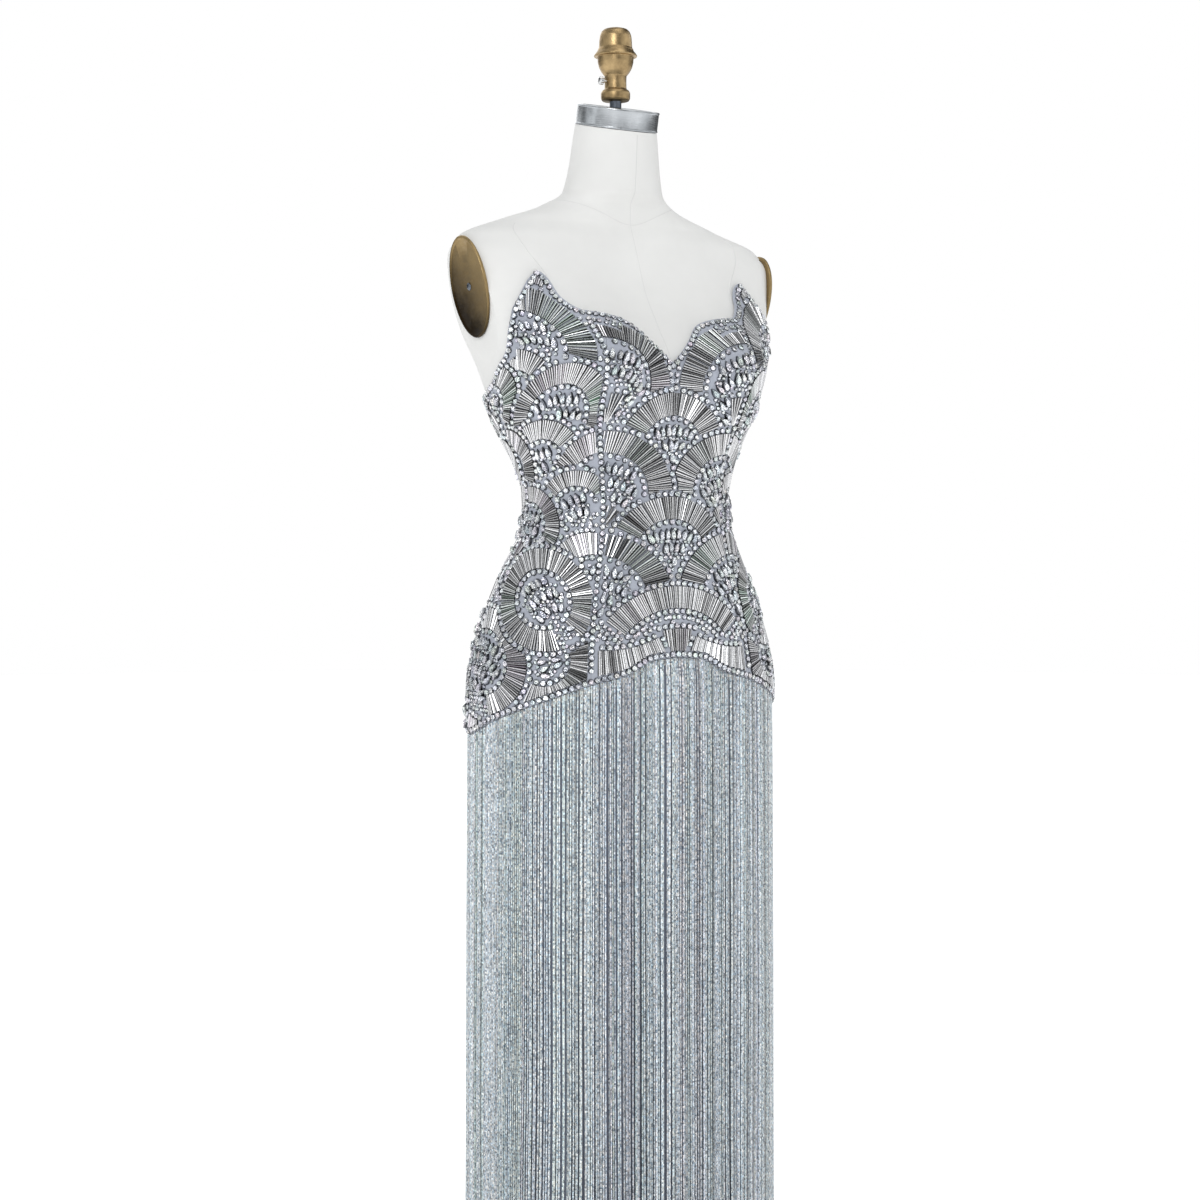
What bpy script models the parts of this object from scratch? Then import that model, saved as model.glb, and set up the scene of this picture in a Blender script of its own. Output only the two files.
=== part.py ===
"""Strapless beaded evening gown with a long fringed skirt, standing on a limbless dress form.

Units are metres and +Z is up. The gown's front faces -Y and the wearer's right side is at -X.
The origin is on the floor under the stand's pole.

Every piece that touches the body is taken from one surface, the dress form's. A place on it is a
column (0 at centre front, positive towards the wearer's left) and a height, and a layer of cloth
is that surface moved outwards. All layers share the same columns and heights, so they nest.
"""
import math
from collections import namedtuple

import bmesh
import bpy
import numpy as np
from mathutils import Matrix, Vector

MM = 0.001

# Sections of the body, from the floor to the top of the neck. The front and back are the section's
# reach along Y, side is the Y of its widest point, and squareness 2 is an ellipse.
Section = namedtuple("Section", "height half_width front side back squareness")
SECTIONS = (
    Section(0.000, 0.1855, -0.1330, -0.010, 0.0780, 2.30),
    Section(0.885, 0.1810, -0.1300, -0.010, 0.0750, 2.30),
    Section(0.930, 0.1715, -0.1265, -0.010, 0.0735, 2.30),
    Section(1.000, 0.1450, -0.1210, -0.015, 0.0670, 2.25),
    Section(1.060, 0.1200, -0.1160, -0.020, 0.0545, 2.20),
    Section(1.092, 0.1160, -0.1140, -0.020, 0.0550, 2.20),
    Section(1.130, 0.1240, -0.1150, -0.018, 0.0700, 2.25),
    Section(1.180, 0.1470, -0.1180, -0.014, 0.0880, 2.35),
    Section(1.235, 0.1650, -0.1160, -0.010, 0.0980, 2.50),
    Section(1.280, 0.1830, -0.0900, -0.006, 0.1000, 2.80),
    Section(1.320, 0.1950, -0.0640, -0.004, 0.0960, 2.90),
    Section(1.355, 0.2010, -0.0500, 0.000, 0.0880, 2.80),
    Section(1.380, 0.1890, -0.0400, 0.004, 0.0840, 2.30),
    Section(1.400, 0.1400, -0.0330, 0.010, 0.0820, 1.90),
    Section(1.418, 0.0880, -0.0330, 0.010, 0.0720, 1.90),
    Section(1.436, 0.0590, -0.0430, 0.004, 0.0570, 2.00),
    Section(1.509, 0.0460, -0.0480, -0.002, 0.0440, 2.00),
)

# The bust swells the front by two soft mounds.
BUST_SIDE = 0.085
BUST_HEIGHT = 1.238
BUST_SWELL = 0.030
BUST_WIDTH = 0.050
BUST_RISE = 0.055
BUST_DROP = 0.050
BUST_EDGE = 0.35

# The arms end in flat planes that lean in towards the waist.
ARM_PLANE_SIDE = 0.184
ARM_PLANE_HEIGHT = 1.322
ARM_PLANE_SLOPE = 0.20
ARM_PLANE_FROM = 1.255

# The neck tips forward towards its top.
NECK_TILT = math.radians(13.0)
NECK_FROM = 1.418
NECK_TOP = 1.509
NECK_CENTRE_Y = -0.002

# Seams by their angle round the body, with the number of columns from the seam before.
Seam = namedtuple("Seam", "name angle columns")
SEAMS = (
    Seam("centre_front", 0.0, 0),
    Seam("princess", 44.0, 6),
    Seam("side", 95.0, 6),
    Seam("back_princess", 140.0, 5),
    Seam("centre_back", 180.0, 4),
)
PRINCESS = 6
SIDE = 12
BACK_PRINCESS = 17
CENTRE_BACK = 21
ROUND = 2 * CENTRE_BACK

# Heights where the body surface bends. Between them it runs straight.
ROWS = (0.000, 0.885, 0.930, 0.965, 1.000, 1.030, 1.060, 1.092, 1.125, 1.160, 1.200, 1.222,
        1.245, 1.268, 1.292, 1.320, 1.345, 1.368, 1.386, 1.402, 1.418, 1.438, 1.472, 1.509)

BODICE_TOP_ROW = 1.345

# An edge of cloth that comes this near a row runs through it.
ROW_SNAP = 2.0 * MM

# Upper edge and lower edge of the bodice, by the angle round the body.
Edge = namedtuple("Edge", "angle height")
NECKLINE = (
    Edge(0.0, 1.237),
    Edge(14.7, 1.260),
    Edge(29.3, 1.281),
    Edge(44.0, 1.2885),
    Edge(52.5, 1.291),
    Edge(61.0, 1.306),
    Edge(69.5, 1.332),
    Edge(78.0, 1.306),
    Edge(86.5, 1.248),
    Edge(95.0, 1.216),
    Edge(140.0, 1.202),
    Edge(180.0, 1.198),
)
BODICE_HEM = (
    Edge(0.0, 0.918),
    Edge(14.7, 0.915),
    Edge(29.3, 0.899),
    Edge(44.0, 0.890),
    Edge(61.0, 0.872),
    Edge(78.0, 0.852),
    Edge(95.0, 0.832),
    Edge(113.0, 0.845),
    Edge(140.0, 0.868),
    Edge(180.0, 0.885),
)

# Layers, as distances out from the form's surface.
SKIRT_INSIDE = 0.6 * MM
SKIRT_WALL = 1.5 * MM
BODICE_WALL = 2.0 * MM
SEAM_GAP = 0.3 * MM

# Distance of the bodice's inner face from the form: over the skirt at the hip, snug at the waist
# and a little proud of the bust.
Fit = namedtuple("Fit", "height inside")
BODICE_FIT = (
    Fit(0.965, 2.6 * MM),
    Fit(1.030, 0.8 * MM),
    Fit(1.125, 0.8 * MM),
    Fit(1.200, 1.6 * MM),
)

SKIRT_TOP = 0.965
SKIRT_HEM = 0.045
SKIRT_ROWS = (0.30, 0.60)

# Fringe: a narrow header under the bodice's hem with strands fused to it.
HEADER_GAP = 0.6 * MM
HEADER_HEIGHT = 7.0 * MM
HEADER_WALL = 1.8 * MM
STRANDS_FRONT = 84
STRANDS_BACK = 68
STRAND_SHARE = 0.80
STRAND_TIP_SHARE = 0.72
FRINGE_END = 0.030
FRINGE_UNEVEN = (0.0, 4.0 * MM, 1.5 * MM, 5.5 * MM, 2.5 * MM)

# Centre back zip.
ZIP_WIDTH = 6.0 * MM
ZIP_WALL = 1.6 * MM
ZIP_END = 0.950
ZIP_CLOSING = 4.0 * MM
SLIDER_HEIGHT = 1.183
SLIDER_OUT = BODICE_FIT[-1].inside + BODICE_WALL + SEAM_GAP
SLIDER_SIZE = (8.0 * MM, 10.0 * MM, 2.4 * MM)
LUG_INSIDE = 1.9 * MM
LUG_THICK = 1.0 * MM
LUG_LENGTH = 3.2 * MM
LUG_TOP = 6.2 * MM
PIN_OUT = 4.8 * MM
PIN_RADIUS = 0.7 * MM
EYE_INNER = 1.0 * MM
EYE_OUTER = 1.9 * MM
EYE_HALF_LENGTH = 1.5 * MM
TAB_LENGTH = 22.0 * MM
TAB_WALL = 1.2 * MM
TAB_TOP_WIDTH = 2.6 * MM
TAB_BOTTOM_WIDTH = 7.0 * MM
TAB_ROOT = 1.4 * MM

# Dress form and stand.
TORSO_BOTTOM = 0.800
TORSO_ROUNDING = 0.012
TORSO_INSET = 0.94
CAP_RADIUS = 0.0470
CAP_HEIGHT = 0.0225
CAP_EDGE = 1.5 * MM
PLATE_HALF_DEPTH = 0.0395
PLATE_HALF_HEIGHT = 0.0560
PLATE_WALL = 3.5 * MM
SCREW_RADIUS = 4.2 * MM
SCREW_HEIGHT = 1.4 * MM
POLE_RADIUS = 0.0125
BASE_RADIUS = 0.185
HUB_TOP = 0.052
REST_GAP = 0.3 * MM

# Turned outlines, from the outside at the bottom to the axis at the top.
Turn = namedtuple("Turn", "radius height")
BASE_PROFILE = (
    Turn(0.0, 0.0),
    Turn(BASE_RADIUS - 0.003, 0.0),
    Turn(BASE_RADIUS, 0.003),
    Turn(BASE_RADIUS, 0.009),
    Turn(BASE_RADIUS - 0.006, 0.013),
    Turn(0.110, 0.021),
    Turn(0.045, 0.027),
    Turn(0.026, 0.033),
    Turn(0.021, 0.042),
    Turn(0.021, HUB_TOP - 0.002),
    Turn(0.019, HUB_TOP),
    Turn(0.0, HUB_TOP),
)
FINIAL_BOTTOM = 1.5312
FINIAL_PROFILE = (
    Turn(0.0, 0.0),
    Turn(0.0066, 0.0),
    Turn(0.0066, 0.0080),
    Turn(0.0150, 0.0085),
    Turn(0.0168, 0.0105),
    Turn(0.0168, 0.0185),
    Turn(0.0150, 0.0210),
    Turn(0.0128, 0.0225),
    Turn(0.0122, 0.0300),
    Turn(0.0130, 0.0350),
    Turn(0.0165, 0.0440),
    Turn(0.0205, 0.0530),
    Turn(0.0218, 0.0565),
    Turn(0.0248, 0.0580),
    Turn(0.0248, 0.0612),
    Turn(0.0195, 0.0625),
    Turn(0.0192, 0.0700),
    Turn(0.0172, 0.0780),
    Turn(0.0130, 0.0850),
    Turn(0.0070, 0.0893),
    Turn(0.0, 0.0905),
)
FINIAL_CENTRE_Y = -0.001
FINIAL_NECK_RADIUS = 0.0131
FINIAL_NECK_HEIGHT = 0.0300
THUMB_SCREW_RADIUS = 4.4 * MM
THUMB_SCREW_LENGTH = 8.0 * MM

Finish = namedtuple("Finish", "name colour roughness metallic")
BEADED_CLOTH = Finish("beaded_cloth", (0.56, 0.58, 0.64), 0.55, 0.0)
SKIRT_CLOTH = Finish("skirt_cloth", (0.40, 0.43, 0.50), 0.70, 0.0)
FRINGE_BEADS = Finish("fringe_beads", (0.62, 0.65, 0.70), 0.35, 0.2)
ZIP_METAL = Finish("zip_metal", (0.50, 0.51, 0.54), 0.35, 1.0)
ZIP_TAPE = Finish("zip_tape", (0.36, 0.38, 0.44), 0.70, 0.0)
CANVAS = Finish("canvas", (0.84, 0.83, 0.80), 0.85, 0.0)
BRUSHED_STEEL = Finish("brushed_steel", (0.66, 0.65, 0.62), 0.32, 1.0)
DARK_BRASS = Finish("dark_brass", (0.24, 0.19, 0.13), 0.42, 1.0)
BRIGHT_STEEL = Finish("bright_steel", (0.78, 0.78, 0.78), 0.22, 1.0)
PAINTED_IRON = Finish("painted_iron", (0.62, 0.61, 0.58), 0.50, 0.3)


def clear_scene():
    """Removes the objects that a new file holds."""
    for thing in list(bpy.data.objects):
        bpy.data.objects.remove(thing, do_unlink=True)


def smooth_through(stops, values, at):
    """A smooth curve through the values, without overshoot between them."""
    stops = np.asarray(stops, float)
    values = np.asarray(values, float)
    run = np.diff(stops)
    steep = np.diff(values) / run
    slope = np.empty(len(stops))
    slope[0] = steep[0]
    slope[-1] = steep[-1]
    product = steep[:-1] * steep[1:]
    total = np.where(product > 0, steep[:-1] + steep[1:], 1.0)
    slope[1:-1] = np.where(product > 0, 2 * product / total, 0.0)
    i = int(np.clip(np.searchsorted(stops, at) - 1, 0, len(run) - 1))
    t = (at - stops[i]) / run[i]
    start = (2 * t**3 - 3 * t**2 + 1) * values[i] + (t**3 - 2 * t**2 + t) * run[i] * slope[i]
    end = (3 * t**2 - 2 * t**3) * values[i + 1] + (t**3 - t**2) * run[i] * slope[i + 1]
    return start + end


def edge_line(table, angles):
    """Height of a bodice edge by column: smooth through the table, straight between columns."""
    stops = [e.angle for e in table]
    heights = [smooth_through(stops, [e.height for e in table], abs(a)) for a in angles]
    nearest = [min(ROWS, key=lambda row: abs(row - h)) for h in heights]
    heights = [row if abs(row - h) < ROW_SNAP else h for row, h in zip(nearest, heights)]

    def height(column):
        return float(np.interp((column + CENTRE_BACK) % ROUND, np.arange(ROUND + 1), heights))
    return height


def section_at(height):
    """The body's section at a height, by a smooth curve through the table."""
    columns = list(zip(*SECTIONS))
    return Section(height, *(smooth_through(columns[0], c, height) for c in columns[1:]))


def body_point(angle, height):
    """Point of the form's surface at an angle in degrees and a height."""
    cut = section_at(height)
    turn = math.radians(angle)
    across = math.sin(turn)
    ahead = math.cos(turn)
    depth = cut.side - cut.front if ahead > 0 else cut.back - cut.side
    power = cut.squareness
    reach = (abs(across / cut.half_width)**power + abs(ahead / depth)**power)**(-1 / power)
    x = reach * across
    y = cut.side - reach * ahead
    away = height - BUST_HEIGHT
    fall = math.exp(-(away / (BUST_RISE if away > 0 else BUST_DROP))**2)
    mound = math.exp(-((abs(x) - BUST_SIDE) / BUST_WIDTH)**2)
    y -= BUST_SWELL * fall * mound * min(max((cut.side - y) / (BUST_EDGE * depth), 0.0), 1.0)
    if height > ARM_PLANE_FROM:
        limit = ARM_PLANE_SIDE + ARM_PLANE_SLOPE * (height - ARM_PLANE_HEIGHT)
        x = min(max(x, -limit), limit)
    lean = max(height - NECK_FROM, 0.0) / (NECK_TOP - NECK_FROM)
    return np.array([x, y, height + math.tan(NECK_TILT) * lean * (y - NECK_CENTRE_Y)])


def column_angles():
    """Angle of each column from centre back on the right, round the front, to centre back."""
    half = [0.0]
    for before, seam in zip(SEAMS, SEAMS[1:]):
        step = (seam.angle - before.angle) / seam.columns
        half += [before.angle + step * (i + 1) for i in range(seam.columns)]
    return [-a for a in reversed(half[1:])] + half


class Body:
    """The form's surface as a net of columns and rows, with the outward direction at each knot."""

    def __init__(self):
        self.angles = column_angles()
        self.neckline = edge_line(NECKLINE, self.angles)
        self.hem = edge_line(BODICE_HEM, self.angles)
        self.points = np.array([[body_point(a, h) for h in ROWS] for a in self.angles])
        self.normals = np.array([[self.outward(a, h) for h in ROWS] for a in self.angles])

    @staticmethod
    def outward(angle, height):
        """Unit vector out of the surface, from neighbouring points."""
        turn = 2.0
        rise = 0.004
        low = max(height - rise, 0.0)
        high = min(height + rise, NECK_TOP)
        along = body_point(angle + turn, height) - body_point(angle - turn, height)
        up = body_point(angle, high) - body_point(angle, low)
        normal = np.cross(along, up)
        return normal / np.linalg.norm(normal)

    def place(self, column, height, out=0.0):
        """Point of the net at a column and height, moved out from the surface."""
        column = (column + CENTRE_BACK) % ROUND
        i = min(int(column), ROUND - 1)
        k = int(np.clip(np.searchsorted(ROWS, height, side="right") - 1, 0, len(ROWS) - 2))
        u = column - i
        v = (height - ROWS[k]) / (ROWS[k + 1] - ROWS[k])
        shares = ((i, k, (1 - u) * (1 - v)), (i + 1, k, u * (1 - v)),
                  (i, k + 1, (1 - u) * v), (i + 1, k + 1, u * v))
        return sum(w * (self.points[a, b] + out * self.normals[a, b]) for a, b, w in shares)

    def shifted(self, column, height, distance):
        """The column that lies a distance in metres along the surface from a column."""
        step = 1.0 if distance > 0 else -1.0
        width = np.linalg.norm(self.place(column + step, height) - self.place(column, height))
        return column + distance / width

    def stations(self, first, last, height, count):
        """Columns that share the girth between two columns evenly at a height."""
        knots = np.arange(first, last + 1)
        ring = np.array([self.place(c, height) for c in knots])
        run = np.concatenate(([0.0], np.cumsum(np.linalg.norm(np.diff(ring, axis=0), axis=1))))
        return np.interp(np.linspace(SEAM_GAP / 2, run[-1] - SEAM_GAP / 2, count), run, knots)


def material_for(finish):
    """The finish as a material."""
    material = bpy.data.materials.get(finish.name) or bpy.data.materials.new(finish.name)
    material.use_nodes = True
    shader = material.node_tree.nodes["Principled BSDF"]
    shader.inputs["Base Color"].default_value = (*finish.colour, 1.0)
    shader.inputs["Roughness"].default_value = finish.roughness
    shader.inputs["Metallic"].default_value = finish.metallic
    return material


def add_object(name, mesh, finish, sharp_from=40.0):
    """Puts a mesh into the scene under its piece's name, shaded smooth but for sharp edges."""
    mesh.materials.append(material_for(finish))
    mesh.shade_smooth()
    mesh.set_sharp_from_angle(angle=math.radians(sharp_from))
    thing = bpy.data.objects.new(name, mesh)
    bpy.context.scene.collection.objects.link(thing)
    return thing


def mesh_from(name, points, faces):
    """A mesh from points and faces."""
    mesh = bpy.data.meshes.new(name)
    mesh.from_pydata([tuple(p) for p in points], [], faces)
    mesh.validate()
    return mesh


def mesh_from_bmesh(name, shape):
    """A mesh from a bmesh with its faces turned outwards, which is freed."""
    bmesh.ops.recalc_face_normals(shape, faces=shape.faces)
    mesh = bpy.data.meshes.new(name)
    shape.to_mesh(mesh)
    shape.free()
    return mesh


def close_wall(outside, inside, faces):
    """Points and faces of a wall: both skins, and a rim along each free edge."""
    count = len(outside)
    directed = {(f[i], f[(i + 1) % len(f)]) for f in faces for i in range(len(f))}
    rim = [(b, a, a + count, b + count) for a, b in directed if (b, a) not in directed]
    back = [tuple(i + count for i in reversed(f)) for f in faces]
    return list(outside) + list(inside), list(faces) + back + sorted(rim)


def clip(corners, low, high, keep):
    """The part of a polygon on one side of a line across its strip.

    A corner is [share of the strip's width, height, outer point, inner point]. The line runs from
    the height low at share 0 to high at share 1, and keep is 1 for the part above it, -1 below.
    """
    kept = []
    sides = [keep * (c[1] - low - c[0] * (high - low)) for c in corners]
    sides = [0.0 if abs(d) < 0.01 * MM else d for d in sides]
    for i, corner in enumerate(corners):
        after = (i + 1) % len(corners)
        if sides[i] >= 0:
            kept.append(corner)
        if sides[i] * sides[after] < 0:
            share = sides[i] / (sides[i] - sides[after])
            kept.append(corner + share * (corners[after] - corner))
    return kept


def cloth_wall(name, body, edges, rows, top, bottom, inside, wall, finish):
    """A wall of cloth on the body between two seams, cut to its upper and lower edges.

    edges is a list of (column, gap) with gap a function of height that moves the edge along the
    surface. top and bottom give an edge's height at a column, and inside the inner face's
    distance from the body at a height.
    """
    outer, inner, faces, known = [], [], [], {}

    def corner(share, column, gap, height):
        shift = gap(height)
        spot = body.shifted(column, height, shift) if shift else column
        face = body.place(spot, height, inside(height) + wall)
        return np.concatenate(([share, height], face, body.place(spot, height, inside(height))))

    def knot(point):
        key = tuple(np.round(point[2:5] / (0.01 * MM)))
        if key not in known:
            known[key] = len(outer)
            outer.append(point[2:5])
            inner.append(point[5:8])
        return known[key]

    for (left, left_gap), (right, right_gap) in zip(edges, edges[1:]):
        for low, high in zip(rows, rows[1:]):
            ring = [corner(0.0, left, left_gap, low), corner(1.0, right, right_gap, low),
                    corner(1.0, right, right_gap, high), corner(0.0, left, left_gap, high)]
            for cut in ((ring[0], ring[1], ring[2]), (ring[0], ring[2], ring[3])):
                cut = clip(cut, bottom(left), bottom(right), 1)
                cut = clip(cut, top(left), top(right), -1)
                face = list(dict.fromkeys(knot(point) for point in cut))
                if len(face) > 2:
                    faces.append(tuple(face))
    return add_object(name, mesh_from(name, *close_wall(outer, inner, faces)), finish)


def plain_edge(_height):
    """No shift of a column."""
    return 0.0


def seam_edge(side):
    """Shift of half a seam's gap to one side."""
    return lambda _height: side * SEAM_GAP / 2


def zip_edge(side):
    """Shift beside the zip, which closes to a plain seam under the zip's end."""
    def shift(height):
        opened = min(max((height - ZIP_END + ZIP_CLOSING) / ZIP_CLOSING, 0.0), 1.0)
        return side * (SEAM_GAP / 2 + opened * (ZIP_WIDTH / 2 + SEAM_GAP / 2))
    return shift


def bodice_inside(height):
    """Distance of the bodice's inner face from the form at a height."""
    return float(np.interp(height, [f.height for f in BODICE_FIT], [f.inside for f in BODICE_FIT]))


def bodice_panel(name, body, first, last, first_edge, last_edge, extra_rows=()):
    """One gore of the bodice between two seam columns."""
    between = [(c, plain_edge) for c in range(first + 1, last)]
    edges = [(first, first_edge)] + between + [(last, last_edge)]
    rows = sorted(set(extra_rows) | {h for h in ROWS if h <= BODICE_TOP_ROW})
    cloth_wall(name, body, edges, rows, body.neckline, body.hem, bodice_inside, BODICE_WALL,
               BEADED_CLOTH)


def build_bodice(body):
    """The seven gores of the bodice."""
    left, right = seam_edge(1), seam_edge(-1)
    bodice_panel("bodice_front_centre", body, -PRINCESS, PRINCESS, left, right)
    bodice_panel("bodice_side_front_left", body, PRINCESS, SIDE, left, right)
    bodice_panel("bodice_side_front_right", body, -SIDE, -PRINCESS, left, right)
    bodice_panel("bodice_side_back_left", body, SIDE, BACK_PRINCESS, left, right)
    bodice_panel("bodice_side_back_right", body, -BACK_PRINCESS, -SIDE, left, right)
    zip_rows = (ZIP_END - ZIP_CLOSING, ZIP_END)
    bodice_panel("bodice_back_left", body, BACK_PRINCESS, CENTRE_BACK, left, zip_edge(-1),
                 zip_rows)
    bodice_panel("bodice_back_right", body, -CENTRE_BACK, -BACK_PRINCESS, zip_edge(1), right,
                 zip_rows)


def skirt_panel(name, body, first, last):
    """One half of the skirt, from under the bodice to just above the floor."""
    between = [(c, plain_edge) for c in range(first + 1, last)]
    edges = [(first, seam_edge(1))] + between + [(last, seam_edge(-1))]
    rows = sorted(set(SKIRT_ROWS) | {h for h in ROWS if h <= SKIRT_TOP})
    cloth_wall(name, body, edges, rows, lambda _c: SKIRT_TOP, lambda _c: SKIRT_HEM,
               lambda _h: SKIRT_INSIDE, SKIRT_WALL, SKIRT_CLOTH)


def fringe(name, body, first, last, strands):
    """A header strip along the bodice's hem with square strands hanging from it.

    Each cell of the header is a strand's root or the gap beside it. A strand bends once, where
    the hip turns upright, and then hangs straight.
    """
    bend = ROWS[1]
    pitch = body.stations(first, last, bend, strands + 1)
    step = pitch[1:] - pitch[:-1]
    starts = pitch[:-1] + step * (1 - STRAND_SHARE) / 2
    cuts = np.sort(np.concatenate((pitch[:1], starts, starts + step * STRAND_SHARE, pitch[-1:])))
    points, faces = [], []

    def ring(left, right, height_left, height_right):
        """Four corners of a strand: outer left, outer right, inner right, inner left."""
        number = len(points)
        out = BODICE_FIT[0].inside
        for column, height, distance in ((left, height_left, out + HEADER_WALL),
                                         (right, height_right, out + HEADER_WALL),
                                         (right, height_right, out), (left, height_left, out)):
            points.append(body.place(column, height, distance))
        return [number, number + 1, number + 2, number + 3]

    def hem(column):
        return body.hem(column) - HEADER_GAP

    tops, feet = [], []
    for column in cuts:
        start = len(points)
        for height in (hem(column), hem(column) - HEADER_HEIGHT):
            for out in (BODICE_FIT[0].inside + HEADER_WALL, BODICE_FIT[0].inside):
                points.append(body.place(column, height, out))
        tops.append((start, start + 1))
        feet.append((start + 2, start + 3))
    for i in range(len(cuts) - 1):
        faces.append((feet[i][0], feet[i + 1][0], tops[i + 1][0], tops[i][0]))
        faces.append((tops[i][1], tops[i + 1][1], feet[i + 1][1], feet[i][1]))
        faces.append((tops[i][0], tops[i + 1][0], tops[i + 1][1], tops[i][1]))
        if i % 2 == 0:
            faces.append((feet[i][1], feet[i + 1][1], feet[i + 1][0], feet[i][0]))
            continue
        above = [feet[i][0], feet[i + 1][0], feet[i + 1][1], feet[i][1]]
        left, right = cuts[i], cuts[i + 1]
        if min(hem(left), hem(right)) - HEADER_HEIGHT > bend + HEADER_WALL:
            below = ring(left, right, bend, bend)
            add_sides(faces, above, below)
            above = below
        middle = (left + right) / 2
        half = (right - left) / 2 * STRAND_TIP_SHARE / STRAND_SHARE
        end = FRINGE_END + FRINGE_UNEVEN[(i // 2) % len(FRINGE_UNEVEN)]
        below = ring(middle - half, middle + half, end, end)
        add_sides(faces, above, below)
        faces.append((below[3], below[2], below[1], below[0]))
    faces.append((tops[0][0], tops[0][1], feet[0][1], feet[0][0]))
    faces.append((feet[-1][0], feet[-1][1], tops[-1][1], tops[-1][0]))
    return add_object(name, mesh_from(name, points, faces), FRINGE_BEADS)


def add_sides(faces, above, below):
    """Four sides of a strand between two rings."""
    for a, b in ((0, 1), (1, 2), (2, 3), (3, 0)):
        faces.append((above[b], above[a], below[a], below[b]))


def box_between(shape, low, high):
    """Adds a box between two corners to a bmesh."""
    low = Vector(low)
    high = Vector(high)
    size = Matrix.Diagonal((high - low).to_4d())
    size[3][3] = 1.0
    bmesh.ops.create_cube(shape, size=1.0, matrix=Matrix.Translation((low + high) / 2) @ size)


def union_into(target, others):
    """Joins solids into the target and leaves one object."""
    for number, other in enumerate(others):
        joined = target.modifiers.new(f"join_{number}", "BOOLEAN")
        joined.operation = "UNION"
        joined.solver = "EXACT"
        joined.object = other
        other.hide_render = True
        other.display_type = "WIRE"


def rod_along_x(name, radius, half_length, centre, sides, finish):
    """A plain rod along X."""
    shape = bmesh.new()
    turn = Matrix.Translation(centre) @ Matrix.Rotation(math.radians(90), 4, "Y")
    bmesh.ops.create_cone(shape, cap_ends=True, segments=sides, radius1=radius, radius2=radius,
                          depth=2 * half_length, matrix=turn)
    return add_object(name, mesh_from_bmesh(name, shape), finish)


def slider_frame(body):
    """Matrix of the zip's face at the slider: X across, Y up along the zip, Z out of it."""
    low = Vector(body.place(CENTRE_BACK, SLIDER_HEIGHT - 0.005, SLIDER_OUT))
    high = Vector(body.place(CENTRE_BACK, SLIDER_HEIGHT + 0.005, SLIDER_OUT))
    across = Vector((-1.0, 0.0, 0.0))
    along = (high - low).normalized()
    out = across.cross(along)
    turn = Matrix((across, along, out)).transposed().to_4x4()
    return Matrix.Translation((low + high) / 2) @ turn


def build_zip(body):
    """Zip chain, slider with its pin, and the pull tab hung on the pin."""
    half = ZIP_WIDTH / 2
    edges = [(CENTRE_BACK, lambda _h: -half), (CENTRE_BACK, plain_edge),
             (CENTRE_BACK, lambda _h: half)]
    rows = [ZIP_END] + [h for h in ROWS if ZIP_END < h <= BODICE_TOP_ROW]
    cloth_wall("zip_chain", body, edges, rows, body.neckline, lambda _c: ZIP_END + SEAM_GAP,
               bodice_inside, ZIP_WALL, ZIP_TAPE)

    frame = slider_frame(body)
    wide, tall, thick = SLIDER_SIZE
    shape = bmesh.new()
    box_between(shape, (-wide / 2, -tall / 2, 0.0), (wide / 2, tall / 2, thick))
    bmesh.ops.bevel(shape, geom=[e for e in shape.edges], offset=0.6 * MM, segments=1,
                    affect="EDGES")
    slider = add_object("zip_slider", mesh_from_bmesh("zip_slider", shape), ZIP_METAL)
    lugs = []
    for number, side in enumerate((-1, 1)):
        shape = bmesh.new()
        near, far = sorted((side * LUG_INSIDE, side * (LUG_INSIDE + LUG_THICK)))
        box_between(shape, (near, -LUG_LENGTH / 2, thick / 2), (far, LUG_LENGTH / 2, LUG_TOP))
        name = f"lug_{number}"
        lugs.append(add_object(name, mesh_from_bmesh(name, shape), ZIP_METAL))
    pin = rod_along_x("pin", PIN_RADIUS, LUG_INSIDE + LUG_THICK / 2, (0, 0, PIN_OUT), 12,
                      ZIP_METAL)
    for piece in (slider, pin, *lugs):
        piece.matrix_world = frame
    union_into(slider, lugs + [pin])
    build_pull_tab(frame @ Vector((0.0, 0.0, PIN_OUT)))


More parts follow.
